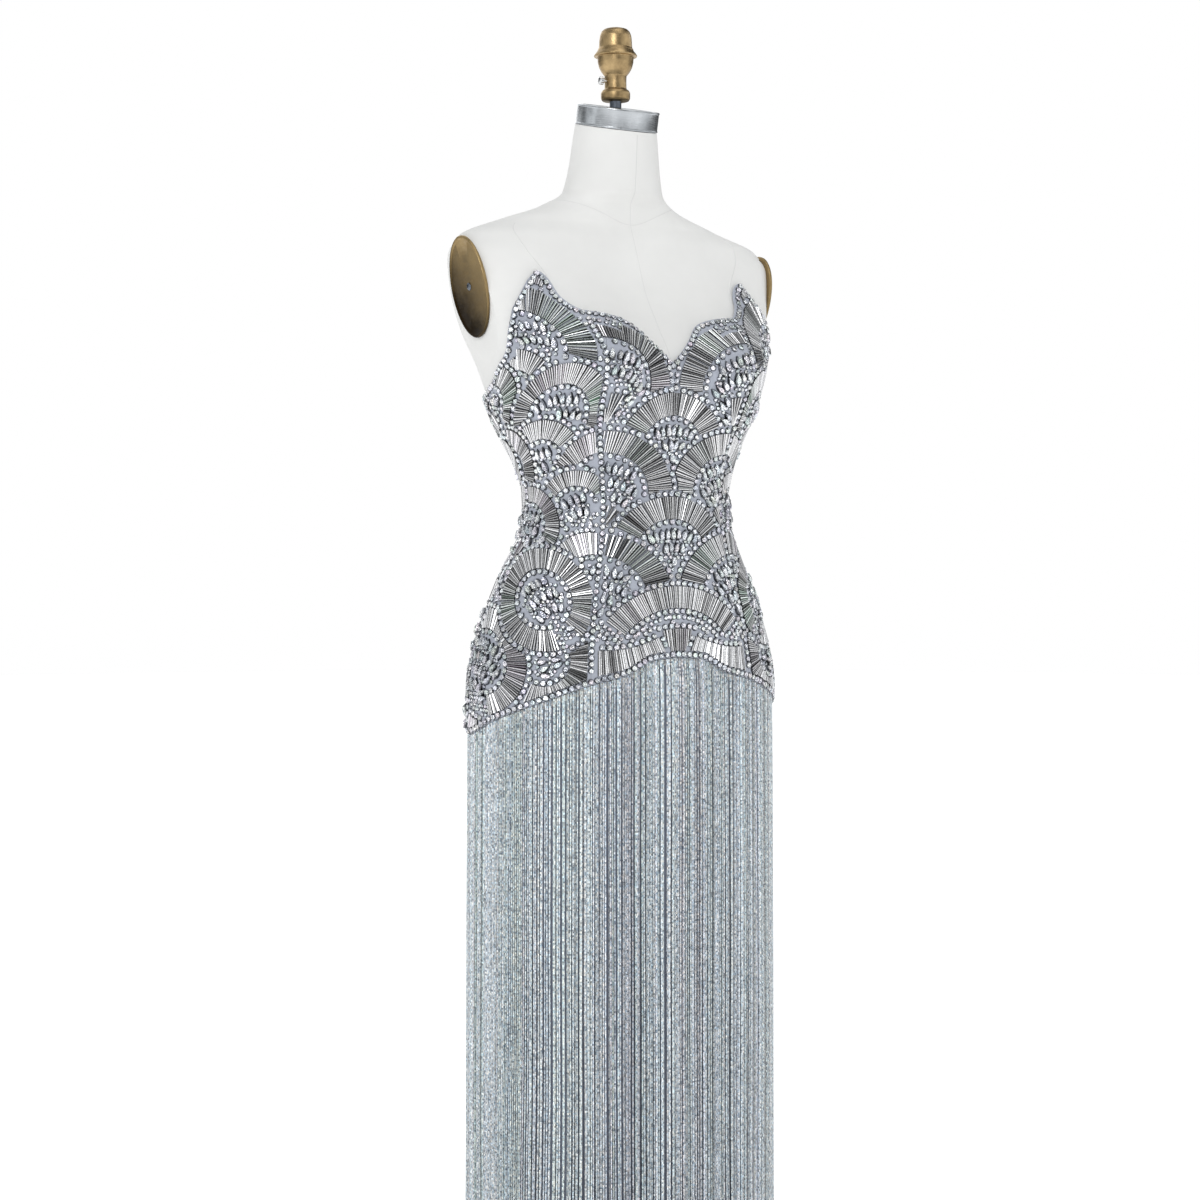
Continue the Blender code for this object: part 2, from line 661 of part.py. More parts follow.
def build_pull_tab(pin_centre):
    """The tab: an eye round the slider's pin and a blade that hangs plumb from it."""
    outline = [(-EYE_HALF_LENGTH, EYE_OUTER), (EYE_HALF_LENGTH, EYE_OUTER),
               (EYE_HALF_LENGTH, EYE_INNER), (-EYE_HALF_LENGTH, EYE_INNER)]
    sides = 20
    points, faces = [], []
    for i in range(sides):
        turn = 2 * math.pi * i / sides
        points += [(x, r * math.sin(turn), r * math.cos(turn)) for x, r in outline]
    for i in range(sides):
        here, there = 4 * i, 4 * ((i + 1) % sides)
        faces += [(here + a, there + a, there + (a + 1) % 4, here + (a + 1) % 4)
                  for a in range(4)]
    shape = bmesh.new()
    knots = [shape.verts.new(p) for p in points]
    for face in faces:
        shape.faces.new([knots[i] for i in face])
    tab = add_object("zip_pull_tab", mesh_from_bmesh("zip_pull_tab", shape), ZIP_METAL)

    shape = bmesh.new()
    round_radius = TAB_BOTTOM_WIDTH / 2
    arc = [math.radians(d) for d in range(0, -181, -20)]
    outline = [(-TAB_TOP_WIDTH / 2, -TAB_ROOT), (TAB_TOP_WIDTH / 2, -TAB_ROOT)]
    outline += [(round_radius * math.cos(a), round_radius * (math.sin(a) + 1) - TAB_LENGTH)
                for a in arc]
    face = shape.faces.new([shape.verts.new((x, -TAB_WALL / 2, z)) for x, z in outline])
    grown = bmesh.ops.extrude_face_region(shape, geom=[face])["geom"]
    moved = [g for g in grown if isinstance(g, bmesh.types.BMVert)]
    bmesh.ops.translate(shape, verts=moved, vec=(0.0, TAB_WALL, 0.0))
    blade = add_object("blade", mesh_from_bmesh("blade", shape), ZIP_METAL)
    for piece in (tab, blade):
        piece.location = pin_centre
    union_into(tab, [blade])


def build_torso(body):
    """The closed form, from its flat underside to the tilted top of the neck."""
    heights = [TORSO_BOTTOM + TORSO_ROUNDING] + [h for h in ROWS if h > TORSO_BOTTOM]
    columns = range(-CENTRE_BACK, CENTRE_BACK)
    rings = [[body.place(c, h) for c in columns] for h in heights]
    centre = np.mean(rings[0], axis=0)
    foot = [centre + (p - centre) * TORSO_INSET for p in rings[0]]
    for p in foot:
        p[2] = TORSO_BOTTOM
    rings.insert(0, foot)
    points = [p for ring in rings for p in ring]
    faces = []
    for k in range(len(rings) - 1):
        for i in range(ROUND):
            j = (i + 1) % ROUND
            a, b, c, d = k * ROUND + i, k * ROUND + j, (k + 1) * ROUND + j, (k + 1) * ROUND + i
            faces += [(a, b, c), (a, c, d)]
    faces.append(tuple(reversed(range(ROUND))))
    faces.append(tuple(range((len(rings) - 1) * ROUND, len(rings) * ROUND)))
    add_object("form_torso", mesh_from("form_torso", points, faces), CANVAS)


def turned(name, profile, sides, finish):
    """A closed solid turned about Z from a profile that starts and ends on the axis."""
    points, faces = [(0.0, 0.0, profile[0].height)], []
    for stop in profile[1:-1]:
        for i in range(sides):
            turn = 2 * math.pi * i / sides
            points.append((stop.radius * math.cos(turn), stop.radius * math.sin(turn),
                           stop.height))
    points.append((0.0, 0.0, profile[-1].height))
    rings = len(profile) - 2
    for i in range(sides):
        j = (i + 1) % sides
        faces.append((0, 1 + j, 1 + i))
        for k in range(rings - 1):
            low, high = 1 + k * sides, 1 + (k + 1) * sides
            faces.append((low + i, low + j, high + j, high + i))
        last = 1 + (rings - 1) * sides
        faces.append((last + i, last + j, len(points) - 1))
    return add_object(name, mesh_from(name, points, faces), finish, 30.0)


def neck_plane():
    """Matrix of the neck's top: its centre, with Z out of it."""
    return Matrix.Translation((0.0, NECK_CENTRE_Y, NECK_TOP)) @ Matrix.Rotation(NECK_TILT, 4, "X")


def build_neck_cap():
    """Steel cap on the neck's top."""
    profile = (Turn(0.0, 0.0), Turn(CAP_RADIUS, 0.0), Turn(CAP_RADIUS, CAP_HEIGHT - CAP_EDGE),
               Turn(CAP_RADIUS - CAP_EDGE, CAP_HEIGHT), Turn(0.0, CAP_HEIGHT))
    cap = turned("neck_cap", profile, 40, BRUSHED_STEEL)
    cap.matrix_world = neck_plane() @ Matrix.Translation((0.0, 0.0, REST_GAP))


def build_finial():
    """Turned brass knob, upright, with its rod cut to the cap's slope."""
    knob = turned("finial", FINIAL_PROFILE, 28, DARK_BRASS)
    lift = CAP_HEIGHT / math.cos(NECK_TILT) + 2 * REST_GAP
    for vertex in knob.data.vertices:
        if vertex.co.z < 0.1 * MM:
            y = vertex.co.y + FINIAL_CENTRE_Y - NECK_CENTRE_Y
            seat = NECK_TOP + lift + math.tan(NECK_TILT) * y
            vertex.co.z = seat - FINIAL_BOTTOM
    knob.location = (0.0, FINIAL_CENTRE_Y, FINIAL_BOTTOM)
    name = "finial_thumb_screw"
    half = THUMB_SCREW_LENGTH / 2
    centre = (-FINIAL_NECK_RADIUS - REST_GAP - half, FINIAL_CENTRE_Y,
              FINIAL_BOTTOM + FINIAL_NECK_HEIGHT)
    rod_along_x(name, THUMB_SCREW_RADIUS, half, centre, 16, BRIGHT_STEEL)


def build_arm_plate(side_name, side):
    """Oval brass plate on the arm's flat end, with its screw."""
    lean = math.atan(ARM_PLANE_SLOPE)
    seat = Matrix.Translation((side * ARM_PLANE_SIDE, 0.0, ARM_PLANE_HEIGHT))
    frame = seat @ Matrix.Rotation(side * (math.radians(90) + lean), 4, "Y")
    profile = (Turn(0.0, 0.0), Turn(1.0, 0.0), Turn(1.0, 0.7 * PLATE_WALL),
               Turn(0.96, PLATE_WALL), Turn(0.0, PLATE_WALL))
    plate = turned(f"arm_plate_{side_name}", profile, 36, DARK_BRASS)
    for vertex in plate.data.vertices:
        vertex.co.x *= PLATE_HALF_HEIGHT
        vertex.co.y *= PLATE_HALF_DEPTH
    plate.matrix_world = frame @ Matrix.Translation((0.0, 0.0, REST_GAP))
    profile = (Turn(0.0, 0.0), Turn(SCREW_RADIUS, 0.0), Turn(0.6 * SCREW_RADIUS, SCREW_HEIGHT),
               Turn(0.0, SCREW_HEIGHT))
    screw = turned(f"arm_screw_{side_name}", profile, 16, BRIGHT_STEEL)
    screw.matrix_world = frame @ Matrix.Translation((0.0, 0.0, PLATE_WALL + 2 * REST_GAP))


def build_stand():
    """Pole and round base."""
    turned("stand_base", BASE_PROFILE, 48, PAINTED_IRON)
    low = HUB_TOP + REST_GAP
    high = TORSO_BOTTOM - REST_GAP
    profile = (Turn(0.0, low), Turn(POLE_RADIUS, low), Turn(POLE_RADIUS, high), Turn(0.0, high))
    turned("stand_pole", profile, 24, PAINTED_IRON)


def main():
    """Builds every piece."""
    clear_scene()
    body = Body()
    build_bodice(body)
    skirt_panel("skirt_front", body, -SIDE, SIDE)
    skirt_panel("skirt_back", body, SIDE, ROUND - SIDE)
    fringe("fringe_front", body, -SIDE, SIDE, STRANDS_FRONT)
    fringe("fringe_back", body, SIDE, ROUND - SIDE, STRANDS_BACK)
    build_zip(body)
    build_torso(body)
    build_neck_cap()
    build_finial()
    build_arm_plate("left", 1)
    build_arm_plate("right", -1)
    build_stand()


main()
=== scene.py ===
"""Looks of a strapless beaded evening gown with a long fringe, standing on a limbless dress form.

Units are metres, +Z is up, the gown's front faces -Y and the wearer's right side is at -X.
Every cloth and bead lies on one surface, the dress form's. A place on it is an angle round the
body (0 at centre front, positive towards the wearer's left) and a height, or, for the beading,
a distance along the girth from centre front and a height.

SEAM_GAP is the distance from a seam's middle to the cloth on either side. METRES_PER_DEGREE and
GOWN_RADIUS are the bodice's usual girth for a degree and its radius. WAVE_SCALE is the scale that
sets a wave texture's waves one metre apart.
"""
import logging
import math
from dataclasses import dataclass, field, replace
from enum import Enum

import bpy
import numpy as np
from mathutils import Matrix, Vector


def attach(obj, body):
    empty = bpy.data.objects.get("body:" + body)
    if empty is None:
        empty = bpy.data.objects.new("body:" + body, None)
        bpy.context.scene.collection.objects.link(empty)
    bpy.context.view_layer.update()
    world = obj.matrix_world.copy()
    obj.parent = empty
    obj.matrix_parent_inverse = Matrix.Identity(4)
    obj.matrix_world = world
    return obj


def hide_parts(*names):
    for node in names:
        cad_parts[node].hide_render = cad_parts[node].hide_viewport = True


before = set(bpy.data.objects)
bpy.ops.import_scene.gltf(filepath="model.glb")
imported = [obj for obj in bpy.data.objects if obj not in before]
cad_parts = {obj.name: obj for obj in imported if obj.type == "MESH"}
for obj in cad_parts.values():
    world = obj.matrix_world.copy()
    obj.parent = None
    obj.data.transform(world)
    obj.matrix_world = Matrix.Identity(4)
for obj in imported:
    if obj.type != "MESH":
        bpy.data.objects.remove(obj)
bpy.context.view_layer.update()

LOG = logging.getLogger("gown")
MM = 0.001
GOWN_BODY = "form_and_gown"
Array = np.ndarray
Faces = list[np.ndarray]


@dataclass(frozen=True)
class Section:
    """A level cut of the body.

    front and back are its reach along Y, side is the Y of its widest point, and squareness is
    the power of its superellipse.
    """

    height: float
    half_width: float
    front: float
    side: float
    back: float
    squareness: float


SECTIONS = (
    Section(0.000, 0.1855, -0.1330, -0.010, 0.0780, 2.30),
    Section(0.885, 0.1810, -0.1300, -0.010, 0.0750, 2.30),
    Section(0.930, 0.1715, -0.1265, -0.010, 0.0735, 2.30),
    Section(1.000, 0.1450, -0.1210, -0.015, 0.0670, 2.25),
    Section(1.060, 0.1200, -0.1160, -0.020, 0.0545, 2.20),
    Section(1.092, 0.1160, -0.1140, -0.020, 0.0550, 2.20),
    Section(1.130, 0.1240, -0.1150, -0.018, 0.0700, 2.25),
    Section(1.180, 0.1470, -0.1180, -0.014, 0.0880, 2.35),
    Section(1.235, 0.1650, -0.1160, -0.010, 0.0980, 2.50),
    Section(1.280, 0.1830, -0.0900, -0.006, 0.1000, 2.80),
    Section(1.320, 0.1950, -0.0640, -0.004, 0.0960, 2.90),
    Section(1.355, 0.2010, -0.0500, 0.000, 0.0880, 2.80),
    Section(1.380, 0.1890, -0.0400, 0.004, 0.0840, 2.30),
    Section(1.400, 0.1400, -0.0330, 0.010, 0.0820, 1.90),
    Section(1.418, 0.0880, -0.0330, 0.010, 0.0720, 1.90),
    Section(1.436, 0.0590, -0.0430, 0.004, 0.0570, 2.00),
    Section(1.509, 0.0460, -0.0480, -0.002, 0.0440, 2.00),
)


@dataclass(frozen=True)
class Edge:
    """Height of a cloth's edge at an angle round the body."""

    angle: float
    height: float


NECKLINE = (Edge(0.0, 1.237), Edge(14.7, 1.260), Edge(29.3, 1.281), Edge(44.0, 1.2885),
            Edge(52.5, 1.291), Edge(61.0, 1.305), Edge(70.8, 1.337), Edge(72.3, 1.304),
            Edge(73.6, 1.275), Edge(76.3, 1.252), Edge(84.0, 1.234), Edge(92.0, 1.2175),
            Edge(110.0, 1.205), Edge(140.0, 1.202), Edge(180.0, 1.198))
BODICE_HEM = (Edge(0.0, 0.918), Edge(14.7, 0.915), Edge(29.3, 0.899), Edge(44.0, 0.890),
              Edge(61.0, 0.872), Edge(78.0, 0.852), Edge(95.0, 0.832), Edge(113.0, 0.845),
              Edge(140.0, 0.868), Edge(180.0, 0.885))
PRINCESS = 44.0
SIDE = 95.0
BACK_PRINCESS = 140.0
CENTRE_BACK = 180.0
SEAM_GAP = 0.15 * MM
METRES_PER_DEGREE = 0.0031
GOWN_RADIUS = 0.17
WAVE_SCALE = 0.314


def smooth_through(stops: Array, values: Array, at: Array) -> Array:
    """A cubic through the values without overshoot: slopes are harmonic means of their neighbours.

    Args:
        stops: where the values stand, rising.
        values: the values there.
        at: where the curve is read.

    Returns:
        The curve's value at each place.
    """
    stops, values, at = (np.asarray(a, float) for a in (stops, values, at))
    run = np.diff(stops)
    steep = np.diff(values) / run
    product = steep[:-1] * steep[1:]
    total = np.where(product > 0, steep[:-1] + steep[1:], 1.0)
    slope = np.concatenate((steep[:1], np.where(product > 0, 2 * product / total, 0.0), steep[-1:]))
    i = np.clip(np.searchsorted(stops, at) - 1, 0, len(run) - 1)
    t = (at - stops[i]) / run[i]
    start = (2 * t**3 - 3 * t**2 + 1) * values[i] + (t**3 - 2 * t**2 + t) * run[i] * slope[i]
    end = (3 * t**2 - 2 * t**3) * values[i + 1] + (t**3 - t**2) * run[i] * slope[i + 1]
    return start + end


def unit(vectors: Array) -> Array:
    """The vectors at length 1."""
    return vectors / np.maximum(np.linalg.norm(vectors, axis=-1, keepdims=True), 1e-12)


class EdgeLine:
    """A cloth's edge round the body: a smooth curve through its table, its corners eased."""

    step = 0.25
    ease_steps = 12

    def __init__(self, table: tuple[Edge, ...], ease: float = 0.7) -> None:
        """Works the edge out at every step of the angle.

        Args:
            table: the edge's heights by angle.
            ease: spread in degrees of the running average that rounds the corners.
        """
        self.angles = np.arange(-190.0, 190.01, self.step)
        folded = 180.0 - np.abs(np.abs(self.angles) - 180.0)
        sharp = smooth_through([e.angle for e in table], [e.height for e in table], folded)
        reach = np.arange(-self.ease_steps, self.ease_steps + 1)
        weight = np.exp(-(reach * self.step / ease)**2)
        padded = np.pad(sharp, self.ease_steps, mode="edge")
        self.heights = np.convolve(padded, weight / weight.sum(), mode="valid")
        self.slopes = np.gradient(self.heights, self.angles)

    def height(self, angle: Array) -> Array:
        """Height of the edge at an angle."""
        return np.interp(angle, self.angles, self.heights)

    def slope(self, angle: Array) -> Array:
        """Rise of the edge per degree at an angle."""
        return np.interp(angle, self.angles, self.slopes)


class BodySurface:
    """The form's surface: superellipse sections, two bust mounds, flat arm ends, tipped neck."""

    bust_side = 0.085
    bust_height = 1.238
    bust_swell = 0.030
    bust_width = 0.050
    bust_rise = 0.055
    bust_drop = 0.050
    bust_edge = 0.35
    arm_side = 0.184
    arm_height = 1.322
    arm_slope = 0.20
    arm_from = 1.243
    neck_tilt = math.radians(13.0)
    neck_from = 1.418
    neck_top = 1.509
    neck_y = -0.002
    girth_low = 0.780
    girth_high = 1.360
    girth_rise = 0.004
    girth_reach = 0.620
    girth_step = 0.001
    table_turn = 200.0
    table_step = 0.5
    normal_turn = 2.0
    normal_rise = 0.004

    def __init__(self) -> None:
        """Reads the sections and makes the table that turns girth distances into angles."""
        self.heights = np.array([s.height for s in SECTIONS])
        names = ("half_width", "front", "side", "back", "squareness")
        self.columns = [np.array([getattr(s, n) for s in SECTIONS]) for n in names]
        self.neckline = EdgeLine(NECKLINE)
        self.hem = EdgeLine(BODICE_HEM, ease=3.0)
        self.table_heights = np.arange(self.girth_low, self.girth_high + 1e-9, self.girth_rise)
        self.table_angles = np.arange(-self.table_turn, self.table_turn + 0.01, self.table_step)
        angle, height = np.meshgrid(self.table_angles, self.table_heights)
        ring = self.point(angle, height)
        steps = np.linalg.norm(np.diff(ring, axis=1), axis=2)
        run = np.concatenate((np.zeros((len(ring), 1)), np.cumsum(steps, axis=1)), axis=1)
        self.girth = run - run[:, [len(self.table_angles) // 2]]
        self.table_across = np.arange(-self.girth_reach, self.girth_reach + 1e-9, self.girth_step)
        self.turned = np.array([np.interp(self.table_across, g, self.table_angles)
                                for g in self.girth])

    def point(self, angle: Array, height: Array, clamp: bool = True) -> Array:
        """Points of the surface.

        A section is (|x|/half width)^n + (|y|/depth)^n = 1 about its side point. The bust moves
        the front outwards by a bell in height times a bell across.

        Args:
            angle: angles round the body in degrees.
            height: heights in metres.
            clamp: whether the arms are cut by their flat planes.

        Returns:
            The points, with the coordinates on the last axis.
        """
        angle, height = np.broadcast_arrays(np.asarray(angle, float), np.asarray(height, float))
        width, front, side, back, power = (smooth_through(self.heights, c, height)
                                           for c in self.columns)
        turn = np.radians(angle)
        across, ahead = np.sin(turn), np.cos(turn)
        depth = np.where(ahead > 0, side - front, back - side)
        reach = (np.abs(across / width)**power + np.abs(ahead / depth)**power)**(-1 / power)
        x, y = reach * across, side - reach * ahead
        away = height - self.bust_height
        fall = np.exp(-(away / np.where(away > 0, self.bust_rise, self.bust_drop))**2)
        mound = np.exp(-((np.abs(x) - self.bust_side) / self.bust_width)**2)
        facing = np.clip((side - y) / (self.bust_edge * depth), 0, 1)
        y = y - self.bust_swell * fall * mound * facing
        if clamp:
            limit = np.where(height > self.arm_from, self.arm_limit(height), 1.0)
            x = np.clip(x, -limit, limit)
        lean = np.maximum(height - self.neck_from, 0.0) / (self.neck_top - self.neck_from)
        return np.stack((x, y, height + math.tan(self.neck_tilt) * lean * (y - self.neck_y)), -1)

    def arm_limit(self, height: Array) -> Array:
        """Half width of the form where the arm is cut off, at a height."""
        return self.arm_side + self.arm_slope * (height - self.arm_height)

    def normal(self, angle: Array, height: Array) -> Array:
        """Unit vectors out of the surface, from neighbouring points."""
        low = np.maximum(height - self.normal_rise, 0.0)
        high = np.minimum(height + self.normal_rise, self.neck_top)
        along = (self.point(angle + self.normal_turn, height)
                 - self.point(angle - self.normal_turn, height))
        rise = self.point(angle, high) - self.point(angle, low)
        return unit(np.cross(along, rise))

    def cell(self, height: Array) -> tuple[Array, Array]:
        """Row of the girth table under a height, and the share of the way to the next."""
        row = (np.asarray(height, float) - self.girth_low) / self.girth_rise
        row = np.clip(row, 0, len(self.table_heights) - 1.001)
        return row.astype(int), row - row.astype(int)

    def angle_at(self, across: Array, height: Array) -> Array:
        """Angle at a distance along the girth from centre front and a height."""
        k, v = self.cell(height)
        spot = (np.asarray(across, float) + self.girth_reach) / self.girth_step
        spot = np.clip(spot, 0, len(self.table_across) - 1.001)
        i = spot.astype(int)
        u = spot - i
        low = self.turned[k, i] * (1 - u) + self.turned[k, i + 1] * u
        high = self.turned[k + 1, i] * (1 - u) + self.turned[k + 1, i + 1] * u
        return low * (1 - v) + high * v

    def across_at(self, angle: Array, height: Array) -> Array:
        """Distance along the girth from centre front at an angle and a height."""
        k, v = self.cell(height)
        spot = (np.asarray(angle, float) + self.table_turn) / self.table_step
        spot = np.clip(spot, 0, len(self.table_angles) - 1.001)
        i = spot.astype(int)
        u = spot - i
        low = self.girth[k, i] * (1 - u) + self.girth[k, i + 1] * u
        high = self.girth[k + 1, i] * (1 - u) + self.girth[k + 1, i + 1] * u
        return low * (1 - v) + high * v

    def place(self, across: Array, height: Array, out: Array | float) -> Array:
        """Points at a girth distance and height, moved out from the surface."""
        return self.layers(self.angle_at(across, height), height, out)[0]

    def layers(self, angle: Array, height: Array, *outs: Array | float) -> list[Array]:
        """The same places moved out from the surface by each of several distances."""
        base, normal = self.point(angle, height), self.normal(angle, height)
        return [base + np.asarray(out)[..., None] * normal for out in outs]


class Cloths:
    """Distances of the cloth layers out from the form."""

    skirt_inside = 0.6 * MM
    skirt_wall = 1.5 * MM
    bodice_wall = 2.0 * MM
    fit_heights = (0.965, 1.030, 1.125, 1.200)
    fit_inside = (2.6 * MM, 0.8 * MM, 0.8 * MM, 1.6 * MM)

    @classmethod
    def bodice_inside(cls, height: Array) -> Array:
        """Distance of the bodice's inner face from the form at a height."""
        return np.interp(height, cls.fit_heights, cls.fit_inside)

    @classmethod
    def bodice_face(cls, height: Array) -> Array:
        """Distance of the bodice's outer face from the form at a height."""
        return cls.bodice_inside(height) + cls.bodice_wall


class Nodes:
    """A material with its shader, and short ways to add and join nodes."""

    def __init__(self, name: str, colour: tuple[float, float, float], roughness: float,
                 **shader: float) -> None:
        """Makes the material.

        Args:
            name: the material's name.
            colour: base colour, linear.
            roughness: roughness of the shader.
            shader: other sockets of the shader by name, with _ for a space.
        """
        self.material = bpy.data.materials.new(name)
        self.material.use_nodes = True
        self.tree = self.material.node_tree
        self.shader = self.tree.nodes["Principled BSDF"]
        self.shader.inputs["Base Color"].default_value = (*colour, 1.0)
        self.shader.inputs["Roughness"].default_value = roughness
        for socket, value in shader.items():
            self.shader.inputs[socket.replace("_", " ")].default_value = value

    def add(self, kind: str, links: dict | None = None, **settings: object) -> bpy.types.Node:
        """Adds a node.

        Args:
            kind: the node's type without its prefix.
            links: socket name or number to a value or to another node's output.
            settings: attributes of the node.

        Returns:
            The node.
        """
        node = self.tree.nodes.new("ShaderNode" + kind)
        for name, value in settings.items():
            setattr(node, name, value)
        for socket, value in (links or {}).items():
            if isinstance(value, bpy.types.NodeSocket):
                self.tree.links.new(value, node.inputs[socket])
            else:
                node.inputs[socket].default_value = value
        return node

    def drive(self, socket: str, source: bpy.types.NodeSocket) -> None:
        """Joins an output to one of the shader's sockets."""
        self.tree.links.new(source, self.shader.inputs[socket])

    def spot(self, scale: tuple[float, float, float] = (1.0, 1.0, 1.0), uv: bool = False,
             turn: float = 0.0) -> bpy.types.NodeSocket:
        """Object or UV coordinates, scaled and turned about Z."""
        source = self.add("TexCoord").outputs["UV" if uv else "Object"]
        return self.add("Mapping", {"Vector": source, "Scale": scale,
                                    "Rotation": (0.0, 0.0, turn)}).outputs["Vector"]

    def noise(self, where: bpy.types.NodeSocket, scale: float, detail: float = 3.0,
              rough: float = 0.5) -> bpy.types.NodeSocket:
        """Soft noise from 0 to 1."""
        return self.add("TexNoise", {"Vector": where, "Scale": scale, "Detail": detail,
                                     "Roughness": rough}).outputs["Fac"]

    def tint(self) -> bpy.types.NodeSocket:
        """The mesh's tint at each point: its colour, and on the beads also painted shade and
        painted reflection.
        """
        return self.add("Attribute", attribute_name="tint").outputs["Color"]

    def waves(self, where: bpy.types.NodeSocket, pitch: float, axes: str,
              **links: float) -> list[bpy.types.NodeSocket]:
        """Waves from 0 to 1, a pitch apart, along each of some axes."""
        return [self.add("TexWave", {"Vector": where, "Scale": WAVE_SCALE / pitch, **links},
                         bands_direction=axis).outputs["Fac"] for axis in axes]

    def ramp(self, value: bpy.types.NodeSocket,
             *stops: tuple[float, tuple]) -> bpy.types.NodeSocket:
        """A colour for each value, blended between the stops."""
        node = self.add("ValToRGB", {"Fac": value})
        while len(node.color_ramp.elements) < len(stops):
            node.color_ramp.elements.new(1.0)
        for element, (place, colour) in zip(node.color_ramp.elements, stops):
            element.position = place
            element.color = (*colour, 1.0)
        return node.outputs["Color"]

    def grey(self, value: bpy.types.NodeSocket, low: float, high: float,
             start: float = 0.0, end: float = 1.0) -> bpy.types.NodeSocket:
        """A value carried from one span to another."""
        return self.add("MapRange", {"Value": value, "From Min": start, "From Max": end,
                                     "To Min": low, "To Max": high}).outputs["Result"]

    def mix(self, share: bpy.types.NodeSocket | float, first: object, second: object,
            blend: str = "MIX") -> bpy.types.NodeSocket:
        """Two colours blended by a share."""
        return self.add("Mix", {0: share, 6: first, 7: second}, data_type="RGBA",
                        blend_type=blend).outputs[2]

    def maths(self, kind: str, first: object, second: object = 0.0) -> bpy.types.NodeSocket:
        """A sum, product or other operation on two values."""
        return self.add("Math", {0: first, 1: second}, operation=kind).outputs[0]

    def bump(self, height: bpy.types.NodeSocket, depth: float, strength: float = 1.0) -> None:
        """Raises the surface by a height, depth metres high, on top of earlier bumps."""
        before = self.shader.inputs["Normal"].links
        links = {"Height": height, "Distance": depth, "Strength": strength}
        if before:
            links["Normal"] = before[0].from_socket
        self.drive("Normal", self.add("Bump", links).outputs["Normal"])


@dataclass(frozen=True)
class BeadGround:
    """Fine blue-grey net that carries the beading."""

    thread_pitch: float = 0.9 * MM

    def make(self, name: str, colour: tuple, dark: tuple) -> bpy.types.Material:
        """Net of two crossed threads with soft cloudiness."""
        nodes = Nodes(name, colour, 0.72, Sheen_Weight=0.35, Sheen_Roughness=0.4)
        where = nodes.spot(uv=True, turn=math.radians(45))
        threads = nodes.waves(where, self.thread_pitch, "XY")
        net = nodes.maths("MAXIMUM", threads[0], threads[1])
        cloud = nodes.noise(nodes.spot(), 60.0)
        shade = nodes.mix(nodes.grey(net, 0.15, 1.0), (*dark, 1.0), (*colour, 1.0))
        nodes.drive("Base Color", nodes.mix(0.35, shade, nodes.ramp(
            cloud, (0.3, dark), (0.7, colour)), "SOFT_LIGHT"))
        nodes.bump(net, 0.25 * MM, 0.6)
        return nodes.material


@dataclass(frozen=True)
class Glass:
    """Silver-lined glass of the bugles, each in its own tint."""

    def make(self, name: str) -> bpy.types.Material:
        """Bright metal lining under a clear coat, streaked along the bead."""
        nodes = Nodes(name, (0.7, 0.7, 0.7), 0.16, Metallic=0.86, Coat_Weight=0.4,
                      Coat_Roughness=0.04)
        # the tint holds each bugle's colour with its painted reflection and painted shade
        tint = nodes.tint()
        grain = nodes.noise(nodes.spot(), 900.0, 2.0)
        streak = nodes.ramp(grain, (0.30, (0.62, 0.62, 0.64)), (0.62, (1.0, 1.0, 1.0)))
        nodes.drive("Base Color", nodes.mix(1.0, tint, streak, "MULTIPLY"))
        nodes.drive("Roughness", nodes.grey(grain, 0.14, 0.30))
        return nodes.material


@dataclass(frozen=True)
class Crystal:
    """Foil-backed cut stones: small facets that throw light and dark each their own way."""

    facet: float = 1.1 * MM

    def make(self, name: str) -> bpy.types.Material:
        """Cells of random tilt and tone on a mirror-like body: the cells' tones, from near black to
        white, are painted reflections of the facets.
        """
        nodes = Nodes(name, (0.8, 0.8, 0.8), 0.06, Metallic=0.92, Coat_Weight=1.0,
                      Coat_Roughness=0.02)
        where = nodes.spot()
        cells = nodes.add("TexVoronoi", {"Vector": where, "Scale": 1 / self.facet})
        tone = nodes.add("SeparateColor", {"Color": cells.outputs["Color"]}).outputs["Red"]
        # painted reflection: dark and bright facet tones in the base colour
        shade = nodes.ramp(tone, (0.0, (0.16, 0.17, 0.20)), (0.22, (0.42, 0.45, 0.50)),
                           (0.50, (0.80, 0.83, 0.87)), (1.0, (1.0, 1.0, 1.0)))
        tint = nodes.tint()
        nodes.drive("Base Color", nodes.mix(1.0, shade, tint, "MULTIPLY"))
        nodes.bump(cells.outputs["Distance"], 0.45 * MM, 0.8)
        return nodes.material


@dataclass(frozen=True)
class Strands:
    """Strung glass seed beads of the fringe."""

    bead_pitch: float = 2.0 * MM

    def make(self, name: str) -> bpy.types.Material:
        """Per-strand tint, speckled bead by bead, with a bump for each bead."""
        nodes = Nodes(name, (0.6, 0.64, 0.7), 0.34, Metallic=0.25, Coat_Weight=0.35,
                      Coat_Roughness=0.12)
        tint = nodes.tint()
        fine = nodes.add("TexWhiteNoise", {"Vector": nodes.add("VectorMath", {
            0: nodes.spot((700.0, 700.0, 1 / self.bead_pitch))}, operation="FLOOR").outputs[0]},
            noise_dimensions="3D")
        speck = nodes.ramp(fine.outputs["Value"], (0.0, (0.30, 0.33, 0.37)),
                           (0.40, (0.84, 0.86, 0.88)), (0.80, (1.05, 1.05, 1.05)),
                           (1.0, (1.60, 1.56, 1.52)))
        hue = nodes.ramp(nodes.noise(nodes.spot(), 420.0, 2.0), (0.30, (0.86, 1.0, 1.08)),
                         (0.5, (1.02, 1.0, 0.97)), (0.70, (1.12, 1.02, 0.90)))
        nodes.drive("Base Color", nodes.mix(1.0, nodes.mix(1.0, tint, speck, "MULTIPLY"), hue,
                                            "MULTIPLY"))
        beads, = nodes.waves(nodes.spot(), self.bead_pitch, "Z")
        nodes.bump(beads, 0.5 * MM, 0.8)
        return nodes.material


